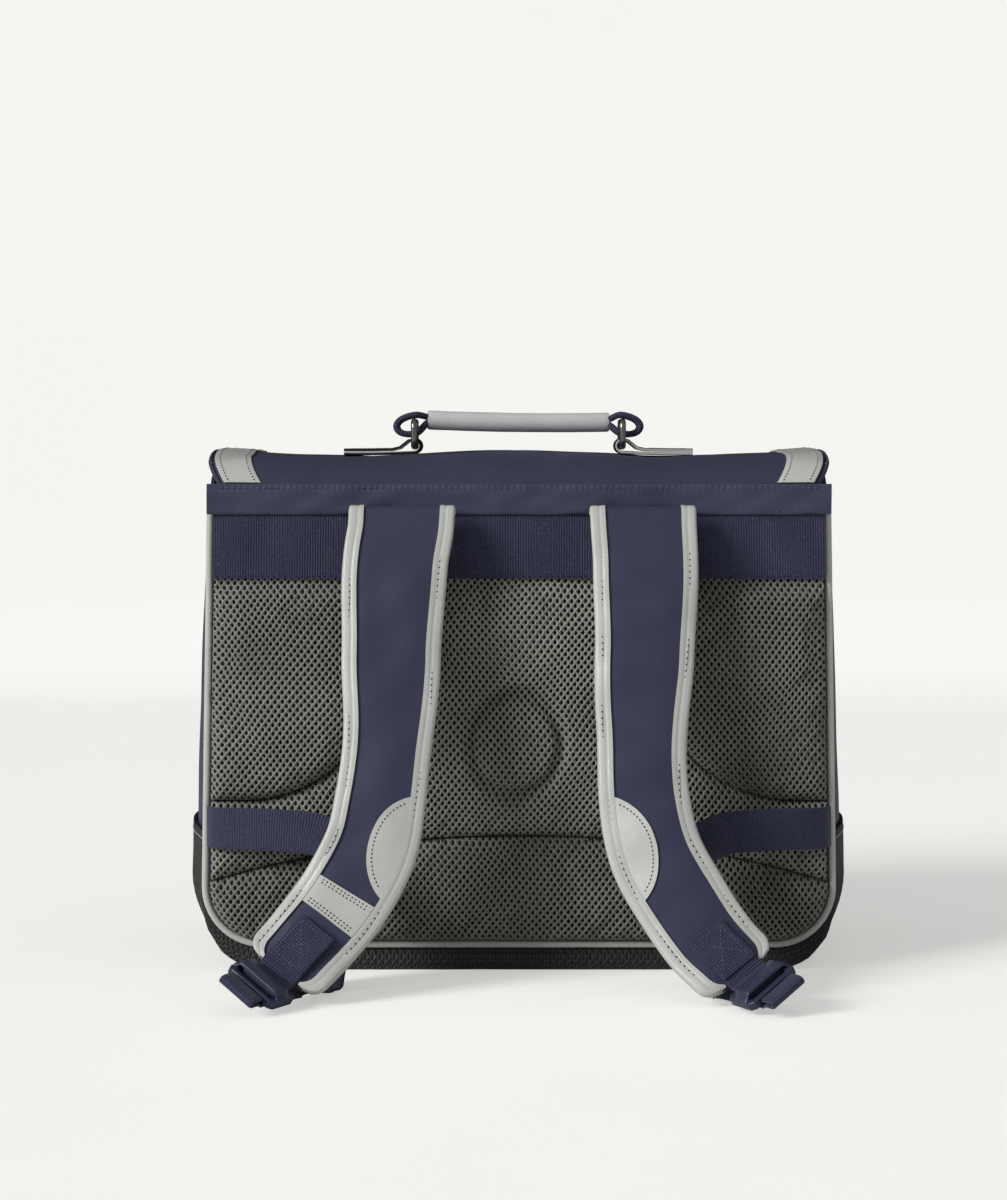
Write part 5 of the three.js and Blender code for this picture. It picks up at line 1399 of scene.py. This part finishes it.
strapFrames = {"left": strapFrame(-1, straps["left"]), "right": strapFrame(1, straps["right"])}
tapeSet = [tape, tapeThread, needleHoleShade]
highlightTapeSet = [highlightTape, tapeThread, needleHoleShade]
for suffix, strap in strapFrames.items():
    title = suffix.capitalize()
    addPiece("strap" + title, [strapBody(strap)], [navyCloth], "navy_cloth", "strap_" + suffix, fill=0.5)
    for edgeName, edge in (("Outer", strap["side"]), ("Inner", -strap["side"])):
        addPiece(
            "strapBinding" + title + edgeName, strapTapes(strap, edge), tapeSet, "reflective_tape",
            "strap_binding_" + suffix + "_" + edgeName.lower(),
        )
    # The right patch takes the lighter tape, a painted highlight.
    patchSet = tapeSet if suffix == "left" else highlightTapeSet
    addPiece("strapPatch" + title, strapPatch(strap), patchSet, "reflective_tape", "strap_patch_" + suffix)
addPiece("strapLabel", strapLabel(strapFrames["left"]), tapeSet, "reflective_tape", "strap_label")
print("straps made")


locks = {
    "webWidth": 25.0, "webThickness": 1.6, "endLength": 33.0, "endTail": 4.0, "offset": 10.0, "bar": 4.0,
    "slot": 6.0, "rail": 5.0, "thickness": 5.0, "height": 14.2, "yaw": math.radians(30),
    "lean": math.radians(32), "anchorHeight": 88.0, "tailReach": 12.0, "turn": 1.1, "bridge": (5.0, 17.0),
    "bridgeThickness": 1.8, "box": (3, 27, 9.5), "boxPitch": 2.6, "boxStitch": 2.0, "boxThread": 0.34,
    "loop": [
        (0.972, 0.01, 1, 0, 0, 1), (0.945, 0.05, 1, 0, 0, 1), (0.87, 0.11, 1.005, 0, 0.05, 1),
        (0.76, 0.18, 1.005, 0, 0.1, 1), (0.62, 0.26, 0.98, 0, 0.3, 0.95),
        (0.545, 0.33, 0.86, 0.1, 0.65, 0.75), (0.525, 0.38, 0.62, 0.15, 0.9, 0.35),
        (0.54, 0.41, 0.36, 0.2, 0.95, 0.15), (0.565, 0.45, 0.14, 0.4, 0.9, 0.05),
        (0.59, 0.51, 0.035, 0.6, 0.8, 0), (0.62, 0.61, 0.03, 0.8, 0.6, 0),
        (0.645, 0.72, 0.055, 0.85, 0.5, 0.12),
    ],
}
bandHalf = locks["webThickness"] / 2
besideBar = locks["bar"] / 2 + gap + bandHalf
overLock = locks["thickness"] / 2 + 1.5 * gap + bandHalf
lockLength = 3 * locks["bar"] + 2 * locks["slot"]


def lockFrame(strap):
    # The lock's directions: turned by the yaw about the upright, then leant about its own length.
    side = strap["side"]
    along = np.array([side * math.sin(locks["yaw"]), -math.cos(locks["yaw"]), 0])
    level = np.array([math.cos(locks["yaw"]), side * math.sin(locks["yaw"]), 0])
    across = level * math.cos(locks["lean"]) + np.array([0, 0, side]) * math.sin(locks["lean"])
    up = unit(np.cross(along, across))
    origin = strap["line"][-1] + strap["along"][-1] * locks["offset"]
    origin = origin + up * (locks["height"] - origin[2]) / up[2]
    return {"along": along, "across": across, "up": up, "origin": origin}


def inLock(lock, places):
    # Points along and above the lock: origin + first * along + second * up.
    places = np.array(places, float)
    return lock["origin"] + places[:, 0:1] * lock["along"] + places[:, 1:2] * lock["up"]


def endWebbing(strap, lock):
    # Along the strap's face, then round the lock's first bar and back underneath.
    run = np.linspace(strap["length"] - locks["endLength"], strap["length"], 24)
    face, up = onStrap(strap, run, 0 * run, 1.5 * gap + bandHalf)
    past = face[-1] + strap["along"][-1] * locks["offset"] / 3
    places = [
        (-besideBar, overLock), (besideBar - locks["turn"], overLock), (besideBar, overLock - locks["turn"]),
        (besideBar, locks["turn"] - overLock), (besideBar - locks["turn"], -overLock),
        (-locks["endTail"], -overLock),
    ]
    path = np.concatenate([face, past[None], inLock(lock, places)])
    onFace = atLength(strap["line"], strap["across"], run)
    across = np.concatenate([onFace, onFace[-1:], np.repeat(lock["across"][None], len(places), 0)])
    parts = [bandPart(path, across, locks["webWidth"], locks["webThickness"], 10)]
    folded = slice(0, 22)
    fold = onStrap(strap, run[folded], 0 * run[folded], 1.5 * gap + 3 * bandHalf)[0]
    parts.append(bandPart(fold, onFace[folded], locks["webWidth"] - 0.4, locks["webThickness"] * 0.9, 10))
    near, far, wide = locks["box"]
    boxLines = (
        (near, far, -wide, -wide), (near, far, wide, wide), (near, near, -wide, wide),
        (far, far, -wide, wide), (near, far, -wide, wide), (near, far, wide, -wide),
    )
    for first, last, sideA, sideB in boxLines:
        places = run[0] + np.linspace(first, last, 24)
        x = np.linspace(sideA, sideB, 24)
        lift = 1.5 * gap + 4 * bandHalf - 0.1 + 0 * places
        line, normal = onStrap(strap, np.minimum(places, strap["length"]), x, lift)
        parts.append(stitchRow(line, normal, locks["boxPitch"], locks["boxStitch"], locks["boxThread"], 1))
    return parts


def lowerWebbing(side, lock):
    # From the side seam in a slack loop behind the strap, through the lock and back on itself.
    table = np.array(locks["loop"], float)
    anchorZ = locks["anchorHeight"]
    anchor = np.array([side * (padHalfAt(np.array(anchorZ)) + 1), padBack - pads["backing"] - gap, anchorZ])
    points = spread(
        side * table[:, 0] * body["seamHalfWidth"], strapRootY - table[:, 1] * straps["reach"],
        table[:, 2] * anchorZ
    )
    centreBar, lockEnd = locks["bar"] + locks["slot"], lockLength - locks["bar"] / 2
    under = overLock + locks["webThickness"] + 2 * gap
    slotA, slotB = centreBar - besideBar, centreBar + besideBar
    turn = locks["turn"]
    approach = [
        (-lockLength, -under - 1), (-locks["bar"], -under), (slotA - 3.5, -under),
        (slotA - 0.8, turn / 2 - under)
    ]
    steps = 10
    loop = curveThrough(np.concatenate([anchor[None], points, inLock(lock, approach)]), steps)
    turns = table[:, 3:] * np.array([side, 1, 1])
    lockAcross = lock["across"] * side
    frames = np.concatenate([turns[:1], turns, np.repeat(lockAcross[None], len(approach), 0)])
    place = np.linspace(0, len(frames) - 1, len(loop))
    across = np.stack([np.interp(place, np.arange(len(frames)), frames[:, k]) for k in range(3)], -1)
    tail, back = lockEnd + locks["tailReach"], locks["webThickness"] + gap
    through = [
        (slotA, turn - overLock), (slotA, overLock - turn), (slotA + turn, overLock),
        (slotB - turn, overLock), (slotB, overLock - turn), (slotB, turn - overLock),
        (slotB + turn, -overLock), (lockEnd, -overLock), (lockEnd + 3, -back), (tail - 2, -back),
        (tail - 0.4, -back * 0.7), (tail, 0), (tail - 0.4, back * 0.7), (tail - 2, back),
        (lockEnd + 3, back),
    ]
    path = np.concatenate([loop, inLock(lock, through)])
    across = np.concatenate([across, np.repeat(lockAcross[None], len(through), 0)])
    return [bandPart(path, across, locks["webWidth"], locks["webThickness"], 10)]


def bevelledCopy(name, node, material, width):
    # A merged copy of the CAD solid with its flat faces joined again and its edges rounded.
    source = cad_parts[node]
    mesh = source.data.copy()
    mesh.name = name
    mesh.materials.clear()
    mesh.materials.append(material)
    work = bmesh.new()
    work.from_mesh(mesh)
    bmesh.ops.remove_doubles(work, verts=work.verts, dist=0.00001)
    bmesh.ops.dissolve_limit(work, angle_limit=math.radians(2), verts=work.verts, edges=work.edges)
    sharp = [edge for edge in work.edges if edge.is_manifold and edge.calc_face_angle(0) > math.radians(30)]
    bmesh.ops.bevel(
        work, geom=sharp, offset=width * millimetre, segments=3, profile=0.5, affect="EDGES",
        clamp_overlap=True
    )
    for face in work.faces:
        face.smooth = True
    work.to_mesh(mesh)
    work.free()
    piece = bpy.data.objects.new(name, mesh)
    scene.collection.objects.link(piece)
    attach(piece, "root")
    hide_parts(node)
    return piece


def lockBridge(lock):
    # The smooth crowned plate over the lock's middle: raised above the webbing and low at both rails.
    half = locks["webWidth"] / 2 + 0.5 + locks["rail"] - 0.4
    share = np.linspace(-1, 1, 41)[None, :]
    turn = np.linspace(0, math.pi, 15)[:, None]
    first, last = locks["bridge"]
    place = mix(last, first, (1 + np.cos(turn)) / 2) + 0 * share
    ends = smooth((np.abs(share) * half - locks["webWidth"] / 2 - 0.6) / 3.6)
    raised = overLock + bandHalf + 0.5 + locks["bridgeThickness"]
    crown = 1.1 * np.sin(turn) - 1.1 + 0.7 * roundOff((1 - np.abs(share)) / 0.1)
    level = mix(raised, locks["thickness"] / 2 + 1.2, ends)
    at = lambda high: (
        lock["origin"] + place[..., None] * lock["along"]
        + (share * half + 0 * turn)[..., None] * lock["across"]
        + high[..., None] * lock["up"]
    )
    return [slabPart(at(level + crown), at(level - locks["bridgeThickness"] + 0 * turn))]


for suffix, strap in strapFrames.items():
    title, lock = suffix.capitalize(), lockFrame(strap)
    bevelledCopy("ladderLock" + title, "ladder_lock_" + suffix, plastic, 0.9)
    addPiece("lockBridge" + title, lockBridge(lock), [plastic], "navy_plastic")
    addPiece(
        "endWebbing" + title, endWebbing(strap, lock), [webbing, boxThread], "navy_webbing",
        "strap_end_webbing_" + suffix
    )
    addPiece(
        "lowerWebbing" + title, lowerWebbing(strap["side"], lock), [webbing], "navy_webbing",
        "lower_webbing_" + suffix
    )
print("locks made")


handle = {
    "gripLength": 114.0, "gripRadius": 6.0, "gripRise": 0.8, "gripSag": 0.9, "gripTilt": 0.7, "wire": 2.1,
    "ringWidth": 25.0, "ringHeight": 19.5, "ringBend": 4.0, "halfSpan": 65.0, "tabWidth": 24.0,
    "tabThickness": 2.0, "tabLength": 44.0, "tabLoop": 4.0, "gripEnd": 10.0, "gripDrop": 0.25,
    "loopSpread": 1.9, "tabStitchIn": 2.5, "loopWidth": 21.0, "loopThickness": 4.0, "loopHeight": 12.0,
}
tabHalf = handle["tabThickness"] / 2
flapWaveAt = lambda x: flap["wave"] * np.cos(2 * math.pi * x / flap["waveLength"])
tabLeafZ = lambda x: flap["top"] + flapWaveAt(x) + 1.5 * gap + tabHalf
tabLoopZ = tabLeafZ(handle["halfSpan"]) + handle["tabLoop"]
ringLow = tabLoopZ - handle["tabLoop"] + tabHalf + 2 * gap + handle["wire"]
ringHigh = ringLow + handle["ringHeight"] - 2 * handle["wire"]
gripZ = ringHigh + handle["gripRise"]

gripX = np.linspace(-handle["gripLength"] / 2, handle["gripLength"] / 2, 80)
gripEase = 1 - (2 * gripX / handle["gripLength"]) ** 2
gripLean = handle["gripTilt"] * 2 * gripX / handle["gripLength"]
gripLine = spread(gripX, 0.0, gripZ - handle["gripDrop"] - handle["gripSag"] * gripEase - gripLean)
gripEnds = roundOff((handle["gripLength"] / 2 - np.abs(gripX)) / 0.8)
gripSize = handle["gripRadius"] * (0.93 + 0.07 * gripEnds) * (1 + 0.012 * ripple(gripX, 0 * gripX, 25, 61))
ones = np.ones((len(gripX), 1))
gripPart = barPart(gripLine, ones * np.array([0, 1.0, 0]), ones * np.array([0, 0, 1.0]), gripSize, 40)
gripSeam = gripLine + np.array([0, 0.6, -1.0]) / 1.17 * handle["gripRadius"]
addPiece(
    "handleGrip", [gripPart, stitchRow(gripSeam, np.array([[0, 0.5, -0.86]]), 3.0, 2.1, 0.3, 1)],
    [gripCover, tapeThread], "grip_cover", "handle_grip",
)


def ringLine(x):
    # A rounded rectangle: four quarter circles round the corners of the bend.
    halfWide, halfTall = handle["ringWidth"] / 2 + handle["wire"], (ringHigh - ringLow) / 2
    corner = np.repeat([0, 1, 2, 3], 8)
    turn = (corner + np.tile(np.linspace(0, 1, 8), 4)) * math.pi / 2
    sideY, sideZ = np.array([1, -1, -1, 1])[corner], np.array([1, 1, -1, -1])[corner]
    normal = spread(0.0, np.cos(turn), np.sin(turn))
    centre = spread(
        x, sideY * (halfWide - handle["ringBend"]),
        (ringHigh + ringLow) / 2 + sideZ * (halfTall - handle["ringBend"])
    )
    return centre + normal * handle["ringBend"], normal


def handleTab(side):
    # A strip that comes in along the flap, turns round the ring and goes out again below itself.
    loopX, radius = handle["halfSpan"], handle["tabLoop"]
    leaf = lambda x, layer: (x, float(tabLeafZ(x)) + layer * (handle["tabThickness"] + gap))
    turn = math.pi * (0.62 + np.arange(17) * 0.88 / 16)
    roundLoop = [(loopX + radius * math.cos(a), tabLoopZ + radius * math.sin(a)) for a in turn]
    end = loopX + handle["tabLength"]
    over = [leaf(x, 1) for x in np.linspace(end, loopX + 3.5 * radius, 14)]
    back = [leaf(x, 0) for x in np.linspace(loopX + 1.5 * radius, end, 20)]
    bridge = [
        (loopX + 2.25 * radius, leaf(loopX + 2.25 * radius, 1)[1] + radius / 4),
        (loopX + 0.9 * radius, tabLoopZ + 0.8 * radius)
    ]
    places = np.array(over + bridge + roundLoop + back, float)
    path = spread(side * places[:, 0], 0.0, places[:, 1])
    across = np.repeat(np.array([[0, 1.0, 0]]), len(path), 0)
    return path, across


def twoFacedBand(path, across, width, thickness, outside, insideMaterial):
    # A band whose two faces have different finishes.
    along = tangents(path)
    side = unit(across - np.sum(across * along, axis=1, keepdims=True) * along)
    up = np.cross(along, side)
    share = np.linspace(-1, 1, 13)
    soft = 0.25 * thickness * (1 - roundOff((1 - np.abs(share)) / 0.12))
    middle = path[:, None] + side[:, None] * (share * width / 2)[None, :, None]
    lift = up[:, None] * (thickness / 2 - soft)[None, :, None]
    return slabPart(middle + lift, middle - lift, outside, insideMaterial)


for suffix, side in (("left", -1), ("right", 1)):
    title = suffix.capitalize()
    line, normal = ringLine(side * handle["halfSpan"])
    across = np.repeat(np.array([[1.0, 0, 0]]), len(line), 0)
    addPiece(
        "handleRing" + title, [barPart(line, normal, across, handle["wire"], 14, endless=True)], [steel],
        "ring_steel", "handle_ring_" + suffix
    )

    path, across = handleTab(side)
    outside, lining = (0, 1) if side > 0 else (1, 0)
    parts = [twoFacedBand(path, across, handle["tabWidth"], handle["tabThickness"], outside, lining)]
    stitchX = (
        side
        * np.linspace(
            handle["halfSpan"] + 17, handle["halfSpan"] + handle["tabLength"] - handle["tabStitchIn"], 30
        )
    )
    for edge in (-1, 1):
        z = tabLeafZ(np.abs(stitchX)) + handle["tabThickness"] + gap + tabHalf
        parts.append(
            stitchRow(
                spread(stitchX, edge * (handle["tabWidth"] / 2 - handle["tabStitchIn"]), z),
                np.array([[0, 0, 1.0]]), 2.6, 1.9, 0.26, 2
            )
        )
    addPiece(
        "handleTab" + title, parts, [tape, leather, tapeThread], "reflective_tape", "handle_tab_" + suffix
    )

    start, half = handle["gripLength"] / 2 - 1.5, handle["loopThickness"] / 2
    topZ = ringHigh + handle["wire"] + gap + half
    startZ = gripZ - handle["gripDrop"] - side * handle["gripTilt"]
    upper, lower = startZ + handle["loopSpread"], startZ - handle["loopSpread"]
    outs = handle["halfSpan"] + handle["loopHeight"] * np.array([-0.09, 0.45, 0.82, 0.95, 0.82, 0.45, -0.09])
    downs = topZ - handle["loopHeight"] * np.array([0, 0.12, 0.34, 0.6, 0.86, 1, 0.94])
    xs = np.concatenate([[start, start + 0.8 * half], outs, [start + 0.8 * half, start]])
    zs = np.concatenate([[upper, upper], downs, [lower, lower]])
    wide = np.concatenate(
        [
            [handle["gripEnd"], 1.2 * handle["gripEnd"]], np.full(7, handle["loopWidth"]),
            [1.2 * handle["gripEnd"], handle["gripEnd"]]
        ]
    )
    curve = curveThrough(spread(side * xs, 0.0, zs, wide), 6)
    across = np.repeat(np.array([[0, 1.0, 0]]), len(curve), 0)
    addPiece(
        "handleLoop" + title, [bandPart(curve[:, :3], across, curve[:, 3], handle["loopThickness"], 8)],
        [webbing],
        "navy_webbing", "handle_loop_" + suffix,
    )
    bevelledCopy("clasp" + title, "clasp_" + suffix, plastic, 1.1)
print("handle made")


studio = {
    "floorColour": (0.86, 0.86, 0.83, 1), "floorGlow": 0.53, "wallGlow": 1.06, "world": (0.95, 0.97, 1.0, 1),
    "worldStrength": 0.27, "sunFrom": (-0.92, -0.62, 0.58), "sunStrength": 2.05, "sunAngle": 24.0,
    "cameraPlace": (-0.0093, -1.680, 0.312), "cameraPitch": 3.15, "lens": 80.0, "sensor": 36.0, "near": 0.05,
    "far": 20.0, "floorFront": -4000.0, "bendFrom": 1600.0, "bendRadius": 900.0, "wallTop": 4200.0,
    "halfWidth": 4500.0, "wallFrom": 0.12, "floorShade": 0.985,
}


def backdropPoints():
    # The floor runs back, turns up in a quarter circle and goes on as a wall.
    turn = np.linspace(0, math.pi / 2, 25)
    start, radius = studio["bendFrom"], studio["bendRadius"]
    floor = spread(np.linspace(studio["floorFront"], start, 40), 0.0)
    bend = spread(start + radius * np.sin(turn), radius - radius * np.cos(turn))
    wall = spread(start + radius, np.linspace(radius, studio["wallTop"], 20))
    profile = np.concatenate([floor, bend[1:], wall[1:]])
    x = np.linspace(-studio["halfWidth"], studio["halfWidth"], 30)[None, :]
    return spread(x, profile[:, 0:1], profile[:, 1:2])


floorMaterial, floorTree, floorShader = startMaterial(
    "paleFloor", {"Roughness": 0.85, "Specular IOR Level": 0.2}
)
floorTone = placeGroup(floorTree, toneGroup, {
    "Colour": studio["floorColour"], "Shade": toned(studio["floorColour"], studio["floorShade"]),
    "Scale": 1.2,
})
floorTree.links.new(floorTone["Colour"], floorShader.inputs["Emission Color"])
seen = addNode(floorTree, "ShaderNodeLightPath").outputs["Is Camera Ray"]
floorPlace = addNode(floorTree, "ShaderNodeTexCoord").outputs["Object"]
floorHeight = addNode(floorTree, "ShaderNodeSeparateXYZ", {"Vector": floorPlace}).outputs["Z"]
glow = addNode(
    floorTree, "ShaderNodeMapRange",
    {
        "Value": floorHeight, "From Max": studio["wallFrom"], "To Min": studio["floorGlow"],
        "To Max": studio["wallGlow"]
    },
)
isWall = addNode(
    floorTree, "ShaderNodeMapRange", {"Value": floorHeight, "From Max": studio["wallFrom"]}
).outputs[0]
floorTree.links.new(
    blendColours(floorTree, isWall, floorTone["Colour"], (0, 0, 0, 1)), floorShader.inputs["Base Color"]
)
floorTree.links.new(
    calc(floorTree, "MULTIPLY", seen, glow.outputs[0]), floorShader.inputs["Emission Strength"]
)
backdrop = makeMesh("backdrop", [gridPart(backdropPoints(), orient=False)], [floorMaterial])

world = bpy.data.worlds.new("studioWorld")
scene.world = world
world.use_nodes = True
world.node_tree.nodes["Background"].inputs["Color"].default_value = studio["world"]
world.node_tree.nodes["Background"].inputs["Strength"].default_value = studio["worldStrength"]


def addLight(name, kind, place, aimAt):
    # A lamp at a place, turned to face a point.
    light = bpy.data.lights.new(name, kind)
    lamp = bpy.data.objects.new(name, light)
    lamp.location = place
    lamp.rotation_euler = (Vector(aimAt) - Vector(place)).to_track_quat("-Z", "Y").to_euler()
    scene.collection.objects.link(lamp)
    return light


sun = addLight("keySun", "SUN", studio["sunFrom"], (0, 0, 0))
sun.energy, sun.angle = studio["sunStrength"], math.radians(studio["sunAngle"])

camera = bpy.data.objects.new("camera", bpy.data.cameras.new("camera"))
camera.data.lens = studio["lens"]
camera.data.sensor_width = studio["sensor"]
camera.data.clip_start, camera.data.clip_end = studio["near"], studio["far"]
camera.location = studio["cameraPlace"]
camera.rotation_euler = (math.radians(90 - studio["cameraPitch"]), 0, 0)
scene.collection.objects.link(camera)
scene.camera = camera
scene.view_settings.view_transform = "Standard"

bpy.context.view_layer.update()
